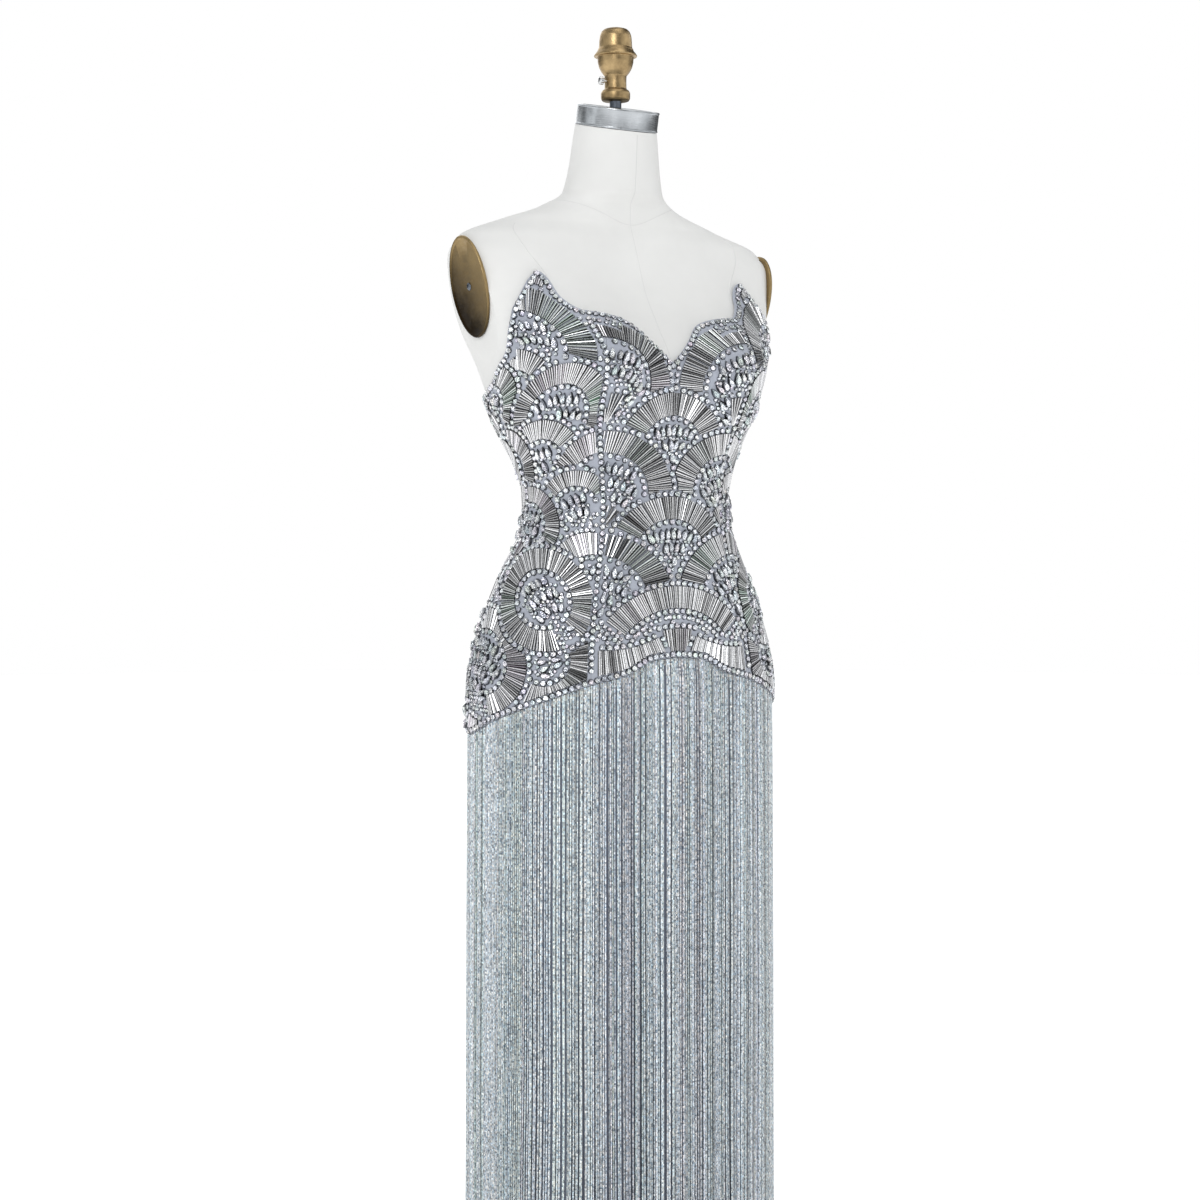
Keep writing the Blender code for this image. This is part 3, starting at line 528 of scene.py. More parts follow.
@dataclass(frozen=True)
class PlainWeave:
    """Woven cloth: canvas of the form, crepe of the skirt, tape of the zip."""

    colour: tuple
    shade: tuple
    pitch: float
    roughness: float = 0.85
    sheen: float = 0.1

    def make(self, name: str) -> bpy.types.Material:
        """Crossed threads as bump, faint mottling as colour."""
        nodes = Nodes(name, self.colour, self.roughness, Sheen_Weight=self.sheen)
        where = nodes.spot()
        threads = nodes.waves(where, self.pitch, "XZ", Distortion=0.6, Detail=1.0)
        weave = nodes.maths("MULTIPLY", threads[0], threads[1])
        mottle = nodes.noise(where, 9.0, 5.0, 0.6)
        nodes.drive("Base Color", nodes.mix(nodes.grey(mottle, 0.0, 1.0, 0.35, 0.70),
                                            (*self.shade, 1.0), (*self.colour, 1.0)))
        nodes.bump(weave, 0.12 * MM, 0.5)
        nodes.bump(mottle, 0.8 * MM, 0.25)
        return nodes.material


@dataclass(frozen=True)
class Metal:
    """Metal with a grain along or round the piece, a worn, darker or lighter tone in random
    patches, and on some pieces a painted light slope, lighter where the light falls.
    """

    colour: tuple
    wear_and_shade_tone: tuple
    roughness: float
    grain: tuple = (60.0, 60.0, 2500.0)
    depth: float = 0.02 * MM
    metallic: float = 1.0
    patch: float = 45.0
    painted_light_slope: tuple = (0.0, 0.0, 0.0)
    painted_light_slope_from: float = 0.0

    def make(self, name: str) -> bpy.types.Material:
        """Two tones in soft patches, fine grain in roughness and bump.

        The painted light slope is how much brighter the tone gets for each metre along the three
        axes: painted light and shade that make one side lighter and the other darker.
        """
        nodes = Nodes(name, self.colour, self.roughness, Metallic=self.metallic)
        patches = nodes.noise(nodes.spot(), self.patch, 6.0, 0.65)
        # painted light and shade: the tone brightens along the slope and darkens against it
        if any(self.painted_light_slope):
            along = nodes.add("VectorMath", {0: nodes.spot(), 1: self.painted_light_slope},
                              operation="DOT_PRODUCT").outputs["Value"]
            patches = nodes.grey(patches, 0.40, 0.62)
            patches = nodes.maths("ADD", patches, nodes.maths("SUBTRACT", along, self.painted_light_slope_from))
        nodes.drive("Base Color", nodes.mix(nodes.grey(patches, 0.0, 1.0, 0.38, 0.66),
                                            (*self.wear_and_shade_tone, 1.0), (*self.colour, 1.0)))
        lines = nodes.noise(nodes.spot(self.grain), 1.0, 3.0, 0.6)
        nodes.drive("Roughness", nodes.grey(lines, self.roughness * 0.75, self.roughness * 1.35,
                                            0.3, 0.7))
        nodes.bump(lines, self.depth, 0.5)
        return nodes.material


class Finishes:
    """Every material of the gown and its form, made once."""

    def __init__(self) -> None:
        """Makes the materials."""
        self.net = BeadGround().make("beaded_net", (0.50, 0.525, 0.585), (0.30, 0.32, 0.37))
        self.glass = Glass().make("bugle_glass")
        self.crystal = Crystal().make("cut_stone")
        self.strands = Strands().make("fringe_strands")
        # the stones' dark metal mount, also a painted shadow round each stone
        self.setting_and_shadow = Metal((0.15, 0.155, 0.17), (0.07, 0.075, 0.085), 0.30, patch=900.0).make(
            "stone_setting_and_painted_shadow")
        self.crepe = PlainWeave((0.17, 0.19, 0.24), (0.13, 0.145, 0.19), 0.5 * MM, 0.8, 0.3).make(
            "skirt_crepe")
        self.canvas = PlainWeave((0.81, 0.808, 0.79), (0.76, 0.757, 0.74), 0.55 * MM).make("canvas")
        self.seam = PlainWeave((0.76, 0.757, 0.745), (0.70, 0.697, 0.685), 0.4 * MM).make(
            "canvas_seam")
        self.tape = PlainWeave((0.22, 0.235, 0.28), (0.17, 0.18, 0.22), 0.45 * MM, 0.75).make(
            "zip_tape")
        self.nickel = Metal((0.62, 0.63, 0.66), (0.42, 0.43, 0.45), 0.30,
                            (900.0, 900.0, 60.0)).make("zip_nickel")
        self.steel = Metal((0.54, 0.56, 0.58), (0.40, 0.42, 0.44), 0.27, (14.0, 14.0, 3200.0),
                           0.02 * MM).make("brushed_steel")
        self.brass = Metal((0.50, 0.36, 0.185), (0.30, 0.21, 0.105), 0.36, (260.0, 260.0, 1500.0),
                           0.03 * MM, patch=60.0).make("antique_brass")
        # painted light: the arm plates grow lighter upwards and to the front, near black below and
        # behind
        self.plate = Metal((0.36, 0.26, 0.125), (0.024, 0.015, 0.006), 0.46, (700.0, 90.0, 90.0),
                           0.03 * MM, patch=30.0, painted_light_slope=(0.0, -3.0, 2.8),
                           painted_light_slope_from=2.8 * 1.322).make("dark_brass")
        self.rod = Metal((0.16, 0.18, 0.21), (0.09, 0.10, 0.12), 0.30, (900.0, 900.0, 2400.0)).make(
            "dark_rod")
        self.bright = Metal((0.80, 0.80, 0.80), (0.60, 0.60, 0.60), 0.18).make("bright_steel")
        self.enamel = Metal((0.60, 0.59, 0.56), (0.54, 0.53, 0.50), 0.42, (500.0, 500.0, 500.0),
                            0.05 * MM, 0.25).make("painted_iron")


def build_mesh(name: str, points: Array, faces: Faces, materials: list[bpy.types.Material],
               smooth: bool = True, tints: Array | None = None, slots: Array | None = None,
               sheet_uv: Array | None = None, sharp: float | None = None) -> bpy.types.Object:
    """Puts arrays into a mesh object at the origin.

    Args:
        name: the piece's name.
        points: one row for each vertex.
        faces: one array for each number of corners, a row of vertex numbers for each face.
        materials: the piece's materials.
        smooth: whether faces are shaded smooth.
        tints: a colour for each vertex.
        slots: a material number for each face, in the order of faces.
        sheet_uv: two flat coordinates in metres for each vertex.
        sharp: edges turned by more than this many degrees are shaded sharp.

    Returns:
        The object.
    """
    mesh = bpy.data.meshes.new(name)
    points = np.asarray(points, np.float32).reshape(-1, 3)
    corners = np.concatenate([np.asarray(f).ravel() for f in faces]).astype(np.int32)
    sizes = np.concatenate([np.full(len(f), np.shape(f)[1]) for f in faces])
    starts = np.concatenate(([0], np.cumsum(sizes)[:-1])).astype(np.int32)
    mesh.vertices.add(len(points))
    mesh.vertices.foreach_set("co", points.ravel())
    mesh.loops.add(len(corners))
    mesh.loops.foreach_set("vertex_index", corners)
    mesh.polygons.add(len(sizes))
    mesh.polygons.foreach_set("loop_start", starts)
    mesh.update(calc_edges=True)
    for material in materials:
        mesh.materials.append(material)
    if slots is not None:
        mesh.polygons.foreach_set("material_index", np.asarray(slots, np.int32))
    if tints is not None:
        shade = mesh.color_attributes.new("tint", "FLOAT_COLOR", "POINT")
        shade.data.foreach_set("color",
                               np.c_[tints, np.ones(len(tints))].astype(np.float32).ravel())
    if sheet_uv is not None:
        layer = mesh.uv_layers.new(name="cloth")
        layer.data.foreach_set("uv", np.asarray(sheet_uv, np.float32)[corners].ravel())
    mesh.polygons.foreach_set("use_smooth", np.full(len(sizes), smooth))
    if sharp is not None:
        mesh.set_sharp_from_angle(angle=math.radians(sharp))
    mesh.update()
    thing = bpy.data.objects.new(name, mesh)
    bpy.context.scene.collection.objects.link(thing)
    return thing


def add_piece(name: str, points: Array, faces: Faces, material: bpy.types.Material | list,
              slot: str, stands_for: str = "", **looks: object) -> bpy.types.Object:
    """Makes a piece, rides it on the gown's body, and hides the CAD node it stands for.

    Args:
        name: the piece's name.
        points: one row for each vertex.
        faces: the faces, as build_mesh takes them.
        material: the piece's material, or a list of them.
        slot: not used.
        stands_for: the CAD node that the piece replaces, if any.
        looks: other arguments of build_mesh.

    Returns:
        The piece.
    """
    materials = material if isinstance(material, list) else [material]
    piece = build_mesh(name, points, faces, materials, **looks)
    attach(piece, GOWN_BODY)
    if stands_for:
        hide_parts(stands_for)
    triangles = sum(len(p.vertices) - 2 for p in piece.data.polygons)
    LOG.info("%s: %d triangles", name, triangles)
    return piece


def grid_faces(rows: int, columns: int) -> Array:
    """Quads of a grid whose points are numbered row by row."""
    spot = np.arange(rows * columns).reshape(rows, columns)
    quads = np.stack((spot[:-1, :-1], spot[1:, :-1], spot[1:, 1:], spot[:-1, 1:]), -1)
    return quads.reshape(-1, 4)


def ring_faces(rings: int, sides: int) -> Array:
    """Quads between closed rings of points, numbered ring by ring, turned outwards."""
    here = np.arange(rings * sides).reshape(rings, sides)
    there = np.roll(here, -1, axis=1)
    quads = np.stack((here[:-1], there[:-1], there[1:], here[1:]), -1)
    return quads.reshape(-1, 4)


def closed_wall(outside: Array, inside: Array) -> tuple[Array, Faces]:
    """A thin wall from its two faces, with a rim all round.

    Args:
        outside: grid of points, angle by height.
        inside: the same grid on the inner face.

    Returns:
        The points and the faces.
    """
    rows, columns = outside.shape[:2]
    count = rows * columns
    spot = np.arange(count).reshape(rows, columns)
    loop = np.concatenate((spot[:-1, 0], spot[-1, :-1], spot[:0:-1, -1], spot[0, :0:-1]))
    after = np.roll(loop, -1)
    rim = np.stack((after, loop, loop + count, after + count), -1)
    front = grid_faces(rows, columns)
    points = np.concatenate((outside.reshape(-1, 3), inside.reshape(-1, 3)))
    return points, [np.concatenate((front, front[:, ::-1] + count, rim))]


def tubes(paths: Array, outs: Array, radii: Array, sides: int,
          flare: Array | float = 1.0) -> tuple[Array, Faces]:
    """Round tubes carried along paths, closed at both ends.

    A ring's points are the path's point plus radius times (cos, sin) in the plane across the path.

    Args:
        paths: points of each path, path by step.
        outs: direction of the first side of each ring.
        radii: radius at each point.
        sides: sides of a tube.
        flare: how much wider than round a ring is at each side.

    Returns:
        The points and the faces.
    """
    count, steps = paths.shape[:2]
    ahead = unit(np.gradient(paths, axis=1))
    across = unit(np.cross(ahead, outs))
    up = np.cross(across, ahead)
    turn = 2 * np.pi * np.arange(sides) / sides
    wide, high = (flare * np.cos(turn))[:, None], np.sin(turn)[:, None]
    ring = wide * across[:, :, None] + high * up[:, :, None]
    points = paths[:, :, None] + ring * radii[:, :, None, None]
    base = np.arange(count)[:, None, None] * steps * sides
    quads = (ring_faces(steps, sides)[None, :, ::-1] + base).reshape(-1, 4)
    cap = np.arange(sides)
    first = (cap[None] + base[:, 0]).reshape(count, sides)
    last = (cap[None, ::-1] + base[:, 0] + (steps - 1) * sides).reshape(count, sides)
    return points.reshape(-1, 3), [quads, first, last]


def turned_solid(profile: Array, sides: int) -> tuple[Array, Faces]:
    """A solid turned about Z.

    A point is (radius cos, radius sin, height) for each stop of the profile.

    Args:
        profile: radius and height from the bottom on the axis to the top on the axis.
        sides: points round.

    Returns:
        The points and the faces.
    """
    profile = np.asarray(profile, float)
    turn = 2 * np.pi * np.arange(sides) / sides
    middle = profile[1:-1]
    rings = np.stack((middle[:, :1] * np.cos(turn), middle[:, :1] * np.sin(turn),
                      np.repeat(middle[:, 1:], sides, axis=1)), -1).reshape(-1, 3)
    low, high = len(rings), len(rings) + 1
    points = np.concatenate((rings, [[0, 0, profile[0, 1]], [0, 0, profile[-1, 1]]]))
    here = np.arange(sides)
    there = (here + 1) % sides
    top = (len(middle) - 1) * sides
    fans = np.concatenate((np.stack((there, here, np.full(sides, low)), -1),
                           np.stack((here + top, there + top, np.full(sides, high)), -1)))
    return points, [ring_faces(len(middle), sides), fans]


def rounded_profile(stops: list[tuple[float, float]], radius: float, steps: int = 4) -> Array:
    """A turned outline with each corner cut to a small round.

    Args:
        stops: radius and height of the corners, ends on the axis.
        radius: size of the rounds, less where a side is short.
        steps: points in each round.

    Returns:
        The outline.
    """
    stops = np.asarray(stops, float)
    line = [stops[0]]
    for before, corner, after in zip(stops, stops[1:], stops[2:]):
        back, ahead = before - corner, after - corner
        reach = min(radius, 0.45 * np.linalg.norm(back), 0.45 * np.linalg.norm(ahead))
        start = corner + reach * back / np.linalg.norm(back)
        end = corner + reach * ahead / np.linalg.norm(ahead)
        t = np.linspace(0, 1, steps)[:, None]
        line += list((1 - t)**2 * start + 2 * t * (1 - t) * corner + t**2 * end)
    return np.array(line + [stops[-1]])


class Filling(Enum):
    """What lies inside a fan's ring of bugles."""

    DROPS = "rows of drop stones"
    CLUSTER = "close rows of round stones and no bugles"
    BARE = "net alone"


@dataclass(frozen=True)
class Fan:
    """A fan of bugles: its centre, its ring's outer and inner radius and how far round it goes.

    Wide is the width of its circles over their height, lean turns the ring's middle from upright.
    A fan covers all of its circle, a patch only its ring. A reach of nothing leaves out the ring.
    A framed ring has rows of stones at its ends too.
    """

    across: float
    height: float
    outer: float
    inner: float
    lean: float = 0.0
    reach: float = 125.0
    wide: float = 1.0
    filling: Filling = Filling.DROPS
    patch: bool = False
    layer: int = 0
    framed: bool = False

    def mirrored(self) -> "Fan":
        """The same fan on the other side of centre front."""
        return replace(self, across=-self.across, lean=-self.lean)

    @property
    def heading(self) -> float:
        """Direction of the middle of the ring, in radians from upright."""
        return math.radians(self.lean)

    def polar(self, across: Array, height: Array) -> tuple[Array, Array]:
        """Distance from the centre and direction from the ring's middle, in radians."""
        x, y = (across - self.across) / self.wide, height - self.height
        turn = np.arctan2(x, y) - self.heading
        return np.hypot(x, y), np.arctan2(np.sin(turn), np.cos(turn))

    def covers(self, across: Array, height: Array, margin: float) -> Array:
        """Whether a place lies under this fan, or nearer to it than a margin."""
        away, turn = self.polar(across, height)
        if not self.patch:
            return away < self.outer + margin
        inside = np.abs(turn) < math.radians(self.reach) + margin / self.outer
        return inside & (away > self.inner - margin) & (away < self.outer + margin)

    def spots(self, turn: Array, away: Array) -> tuple[Array, Array]:
        """Girth distance and height at directions and distances from the centre."""
        angle = turn + self.heading
        return self.across + self.wide * away * np.sin(angle), self.height + away * np.cos(angle)


@dataclass(frozen=True)
class Gore:
    """One gore of the bodice: the seams it lies between, from right to left, and its fans."""

    name: str
    first: float
    last: float
    fans: tuple[Fan, ...]
    first_gap: float = SEAM_GAP
    last_gap: float = SEAM_GAP

    def ordered(self) -> list[Fan]:
        """The fans by layer, in a layer from the top one down, and patches as they are listed."""
        return sorted(self.fans, key=lambda f: (f.layer, 0.0 if f.patch else -f.height - f.outer))


def mirror_pair(*fans: Fan) -> tuple[Fan, ...]:
    """The fans on both sides of centre front."""
    return tuple(fans) + tuple(f.mirrored() for f in fans)


def back_fans(surface: BodySurface) -> tuple[Fan, ...]:
    """A fish-scale repeat from centre back to the side: every other column is half a step lower.

    A fan's circles are as wide as the distance between its neighbouring columns asks for.

    Args:
        surface: the body's surface.

    Returns:
        The fans of the wearer's left half.
    """
    columns = (72.5, SIDE, 117.5, BACK_PRINCESS, CENTRE_BACK, 200.0)
    step, spread, fans = 0.104, 0.071, []
    for number in range(1, len(columns) - 1):
        for row in range(5):
            height = 1.202 - step * row + step / 2 * (number % 2)
            before, here, after = (float(surface.across_at(np.array([a]), np.array([height]))[0])
                                   for a in columns[number - 1:number + 2])
            wide = (here - before if number == len(columns) - 2 else (after - before) / 2) / spread
            fans.append(Fan(here, height, 0.064, 0.034, wide=wide))
    return tuple(fans)


BARE_PATCH = {"filling": Filling.BARE, "patch": True, "layer": 1}
FRONT_FANS = (
    Fan(0.000, 1.148, 0.061, 0.030, wide=1.12),
    Fan(0.000, 1.028, 0.068, 0.037, wide=1.12),
    Fan(0.000, 0.893, 0.105, 0.075, wide=1.05, reach=0.0, filling=Filling.BARE),
    Fan(0.000, 0.893, 0.105, 0.030, wide=1.05, reach=80.0, filling=Filling.CLUSTER,
        patch=True, layer=1),
    Fan(0.000, 0.893, 0.105, 0.075, wide=1.05, reach=50.0, **BARE_PATCH),
    Fan(0.000, 0.850, 0.102, 0.066, reach=13.0, framed=True, **BARE_PATCH),
) + mirror_pair(
    Fan(0.098, 1.211, 0.073, 0.045, wide=1.30),
    Fan(0.080, 1.098, 0.070, 0.040, wide=1.20),
    Fan(0.092, 0.986, 0.070, 0.040, wide=1.30),
    Fan(0.098, 1.211, 0.094, 0.0655, lean=-5.0, reach=22.0, filling=Filling.CLUSTER,
        patch=True, layer=1),
    Fan(0.082, 1.168, 0.040, 0.003, lean=2.0, reach=20.0, **BARE_PATCH),
    Fan(0.080, 1.056, 0.031, 0.003, lean=-18.0, reach=26.0, **BARE_PATCH),
    Fan(0.085, 1.070, 0.190, 0.1405, lean=191.0, reach=15.5, framed=True, **BARE_PATCH),
)
SIDE_FRONT_FANS = (
    Fan(0.171, 1.254, 0.070, 0.034),
    Fan(0.236, 1.190, 0.052, 0.024),
    Fan(0.198, 1.200, 0.055, 0.027),
    Fan(0.134, 1.180, 0.058, 0.031, lean=13.0),
    Fan(0.206, 1.122, 0.050, 0.024),
    Fan(0.147, 1.128, 0.052, 0.026, lean=22.0),
    Fan(0.080, 1.098, 0.070, 0.040, wide=0.80),
    Fan(0.106, 1.078, 0.047, 0.024, lean=26.0),
    Fan(0.168, 1.062, 0.046, 0.022),
    Fan(0.092, 0.986, 0.070, 0.040, wide=0.80),
    Fan(0.214, 1.000, 0.055, 0.028),
    Fan(0.149, 0.980, 0.058, 0.030, lean=30.0, reach=165.0, layer=1),
    Fan(0.226, 0.912, 0.060, 0.032, lean=-20.0, reach=150.0),
    Fan(0.152, 0.918, 0.056, 0.026, lean=-60.0, reach=170.0),
)


@dataclass
class Beads:
    """Beads gathered for one piece: place, directions and size of each, row by row."""

    origins: list[Array] = field(default_factory=list)
    axes: list[Array] = field(default_factory=list)
    ups: list[Array] = field(default_factory=list)
    sizes: list[Array] = field(default_factory=list)


class BeadShapes:
    """Small closed shapes that are repeated over the cloth, each a few dozen faces."""

    @staticmethod
    def cut_stone(outline: Array, table: float, shift: float = 0.0) -> tuple[Array, Faces, Array]:
        """A faceted stone in its dark mount.

        Rings of the same outline: foot, girdle, and a table turned by half a step. The wall from
        the foot, wider than the stone, to the girdle is the dark metal mount and a painted shadow
        round the stone.

        Args:
            outline: points of the girdle in its own plane, as a share of the size.
            table: size of the table as a share of the girdle.
            shift: how far the table's middle lies from the girdle's.

        Returns:
            The points, the faces and the material number of each face.
        """
        sides = len(outline)
        half = (outline + np.roll(outline, -1, axis=0)) / 2 * table + (0.0, shift)
        # the foot ring, 1.14 times the girdle, spreads the dark mount out as a painted shadow
        levels = ((outline * 1.14, 0.0), (outline * 0.98, 0.17), (half, 0.38))
        points = np.concatenate([np.c_[ring, np.full(sides, z)] for ring, z in levels])
        here = np.arange(sides)
        there = (here + 1) % sides
        wall = np.stack((here, there, there + sides, here + sides), -1)
        crown = np.concatenate((np.stack((here + sides, there + sides, here + 2 * sides), -1),
                                np.stack((there + sides, there + 2 * sides, here + 2 * sides), -1)))
        flats = np.stack((here[::-1], here + 2 * sides))
        slots = np.concatenate((np.ones(sides), np.zeros(2 * sides), (1, 0)))
        return points, [wall, crown, flats], slots

    @classmethod
    def round_stone(cls) -> tuple[Array, Faces, Array]:
        """A round stone of eight sides."""
        turn = 2 * np.pi * np.arange(8) / 8
        return cls.cut_stone(0.5 * np.stack((np.cos(turn), np.sin(turn)), -1), 0.76)

    @classmethod
    def drop_stone(cls) -> tuple[Array, Faces, Array]:
        """A drop of ten sides whose point is at +Y, half as wide as it is long."""
        turn = 2 * np.pi * np.arange(10) / 10
        wide = -0.31 * np.sin(turn) * np.abs(np.sin(turn / 2))**0.7
        return cls.cut_stone(np.stack((wide, 0.5 * np.cos(turn)), -1), 0.78, -0.03)


def repeat_shape(shape: tuple[Array, Faces, Array], origins: Array, forward: Array, up: Array,
                 sizes: Array) -> tuple[Array, Faces, Array]:
    """Copies of a shape, each at an origin with its own +Y and +Z directions and size.

    Args:
        shape: points, faces and material numbers of the shape.
        origins: place of each copy.
        forward: direction of the shape's +Y.
        up: direction of the shape's +Z.
        sizes: size of each copy.

    Returns:
        The points, the faces and the material number of each face.
    """
    points, faces, slots = shape
    forward = unit(forward - np.sum(forward * up, -1, keepdims=True) * up)
    side = np.cross(forward, up)
    axes = np.stack((side, forward, up), 1)
    moved = origins[:, None] + np.einsum("pk,nkc->npc", points, axes) * sizes[:, None, None]
    base = np.arange(len(origins))[:, None, None] * len(points)
    grown = [(f[None] + base).reshape(-1, f.shape[1]) for f in faces]
    spans = np.split(slots, np.cumsum([len(f) for f in faces])[:-1])
    return moved.reshape(-1, 3), grown, np.concatenate([np.tile(s, len(origins)) for s in spans])


@dataclass
class Beading:
    """Lays the fans on a gore: bugles, round stones on every arc, and drop stones inside.

    Margins and clear distances are in metres. near_share and cluster_share are shares of the
    stones' pitch and size, tip_share of a fan's outer radius.
    """

    surface: BodySurface
    finishes: Finishes
    bugle_pitch: float = 2.25 * MM
    bugle_outer: float = 1.14 * MM
    bugle_inner: float = 0.70 * MM
    bugle_shortest: float = 4.0 * MM
    bugle_taper: float = 30 * MM
    halo: float = 34.0 * MM
    stone: float = 6.7 * MM
    stone_pitch: float = 7.1 * MM
    near_share: float = 0.86
    arc_margin: float = 1.2 * MM
    small_stone: float = 4.6 * MM
    small_pitch: float = 5.0 * MM
    drop: float = 12.6 * MM
    drop_pitch: float = 7.2 * MM
    drop_rows: float = 15.0 * MM
    drop_reach: float = 1.5
    drop_clear: float = 5.3 * MM
    tip_share: float = 0.66
    cluster_rows: float = 5.2 * MM
    cluster_pitch: float = 5.8 * MM
    cluster_stray: float = 0.6 * MM
    cluster_margin: float = 2.4 * MM
    cluster_clear: float = 5.0 * MM
    cluster_share: float = 0.86
    small_clear: float = 5.2 * MM
    small_low: float = 0.80
    small_high: float = 1.36
    small_beyond: float = 0.08
    edge_margin: float = 6.6 * MM
    seam_margin: float = 3.7 * MM
    bare_band: float = 3.5 * MM
    edge_row: float = 3.4 * MM
    neckline_row_end: float = 176.2
    hem_row_end: float = 179.0
    seam_row_end: float = 8 * MM
    seam_bend: float = 7.0
    seam_bend_from: float = 1.236
    seam_bend_to: float = 1.290

    def __post_init__(self) -> None:
        """Starts the random draws and the list of places that are taken."""
        self.random = np.random.default_rng(20)
        self.taken = np.zeros((0, 3))

    def seam_angle(self, seam: float, height: Array) -> Array:
        """Angle of a seam's row of stones: the princess rows bend outwards over the bust."""
        share = (height - self.seam_bend_from) / (self.seam_bend_to - self.seam_bend_from)
        share = np.clip(share, 0, 1)
        bend = self.seam_bend * share * share * (3 - 2 * share)
        return seam + (math.copysign(1.0, seam) * bend if abs(seam) == PRINCESS else 0.0 * height)

    def inside(self, gore: Gore, across: Array, height: Array, seam: float, edge: float) -> Array:
        """Whether a place lies on a gore, clear of its seams and edges by the given distances."""
        angle = self.surface.angle_at(across, height)
        first, last = (self.seam_angle(a, height) for a in (gore.first, gore.last))
        on = across > self.surface.across_at(first, height) + seam + gore.first_gap - SEAM_GAP
        on &= across < self.surface.across_at(last, height) - seam - gore.last_gap + SEAM_GAP
        for line, side in ((self.surface.neckline, 1), (self.surface.hem, -1)):
            steep = line.slope(angle) / METRES_PER_DEGREE
            on &= side * (line.height(angle) - height) / np.sqrt(1 + steep**2) > edge
        return on

    def shown(self, gore: Gore, later: list[Fan], across: Array, height: Array, margin: float,
              seam: float, edge: float) -> Array:
        """Whether a place is on the gore and not under a later fan."""
        free = self.inside(gore, across, height, seam, edge)
        for fan in later:
            free &= ~fan.covers(across, height, margin)
        return free

    def clear_of_taken(self, points: Array, distance: float) -> Array:
        """Which points keep a distance from the beads that are sewn on already."""
        if not len(self.taken):
            return np.ones(len(points), bool)
        gaps = np.linalg.norm(points[:, None] - self.taken[None], axis=2)
        return gaps.min(axis=1) > distance

    def sew(self, beads: Beads, across: Array, height: Array, heading: Array, size: float,
            keep_clear: float) -> None:
        """Adds stones at places that are still free.

        Args:
            beads: the piece's beads.
            across: girth distances.
            height: heights.
            heading: direction of each stone's point, in radians from upright.
            size: size of the stones.
            keep_clear: least distance to the beads that are there already.
        """
        if not len(across):
            return
        face = Cloths.bodice_face(height)
        origin = self.surface.place(across, height, face)
        free = self.clear_of_taken(origin, keep_clear)
        if not free.any():
            return
        across, height, heading, origin, face = (a[free] for a in (across, height, heading, origin,
                                                                   face))
        ahead = self.surface.place(across + MM * np.sin(heading), height + MM * np.cos(heading),
                                   face)
        up = self.surface.normal(self.surface.angle_at(across, height), height)
        up = unit(up + 0.10 * self.random.normal(size=up.shape))
        beads.origins.append(origin)
        beads.axes.append(ahead - origin)
        beads.ups.append(up)
        beads.sizes.append(size * (1 + 0.06 * self.random.normal(size=len(origin)).clip(-1.5, 1.5)))
        self.taken = np.concatenate((self.taken, origin))

    def stones_object(self, name: str, beads: Beads, shape: tuple[Array, Faces, Array]) -> None:
        """Makes one piece of all the stones in a list, with painted reflections in their tints:
        each ring its own tone, many girdle points painted dark.
        """
        if not beads.origins:
            return
        origins, axes, ups, sizes = (np.concatenate(a) for a in (beads.origins, beads.axes,
                                                                 beads.ups, beads.sizes))
        points, faces, slots = repeat_shape(shape, origins, axes, ups, sizes)
        sides = len(shape[0]) // 3
        # painted reflection: each ring of a stone gets its own tone, and girdle points are darkened
        # at random as dark facets
        tone = np.clip(self.random.normal(0.98, 0.12, (len(origins), 3, 1)), 0.5, 1.15)
        tone = np.repeat(tone, sides, axis=1).reshape(len(origins), 3 * sides, 1)
        rim = self.random.choice((0.03, 0.12, 0.45, 1.0), (len(origins), sides, 1),
                                 p=(0.30, 0.20, 0.20, 0.30))
        tone[:, sides:2 * sides] *= rim
        tints = (tone * (1 + 0.03 * self.random.normal(size=(len(origins), 1, 3)))).reshape(-1, 3)
        add_piece(name, points, faces, [self.finishes.crystal, self.finishes.setting_and_shadow],
                  "beaded_cloth", smooth=False, tints=tints, slots=slots)

    def stone_row(self, gore: Gore, fan: Fan, later: list[Fan], turn: Array, away: Array | float,
                  beads: Beads) -> None:
        """Round stones at a fan's places, given by turn and radius, where they show."""
        across, height = fan.spots(turn, away)
        free = self.shown(gore, later, across, height, self.arc_margin, self.seam_margin,
                          self.edge_margin)
        self.sew(beads, across[free], height[free], turn[free], self.stone,
                 self.near_share * self.stone_pitch)

    def arc_stones(self, gore: Gore, fan: Fan, later: list[Fan], radius: float, reach: float,
                   beads: Beads) -> None:
        """A row of round stones along an arc of a fan."""
        count = max(int(2 * reach * radius / self.stone_pitch), 1)
        self.stone_row(gore, fan, later, np.linspace(-reach, reach, count + 1), radius, beads)

    def end_stones(self, gore: Gore, fan: Fan, later: list[Fan], beads: Beads) -> None:
        """Rows of round stones from the inner to the outer arc at both ends of a ring."""
        away = np.arange(fan.inner, fan.outer, self.stone_pitch)
        for end in (-1, 1):
            turn = np.full(len(away), end * math.radians(fan.reach))
            self.stone_row(gore, fan, later, turn, away, beads)

    def bugle_ring(self, gore: Gore, fan: Fan, later: list[Fan]) -> tuple[Array, Array]:
        """Straight bugles across a fan's ring, each cut to the longest stretch that shows.

        Returns:
            Start and end of each bugle, as girth distance and height.
        """
        middle = (fan.outer + fan.inner) / 2
        reach = math.radians(fan.reach)
        if fan.framed:
            reach -= (self.stone / 2 + self.bugle_outer) / middle
        count = int(2 * reach * middle / self.bugle_pitch)
        turn = np.linspace(-reach, reach, count + 1)
        turn = turn + self.random.normal(0, 0.10, count + 1) * self.bugle_pitch / middle
        half = self.stone / 2
        away = np.linspace(fan.inner + half, fan.outer - half, 28)
        across, height = fan.spots(turn[:, None], away[None])
        free = self.shown(gore, later, across, height, half + 0.2 * MM, self.seam_margin,
                          self.edge_margin)
        return self.longest(fan, turn, away, free)

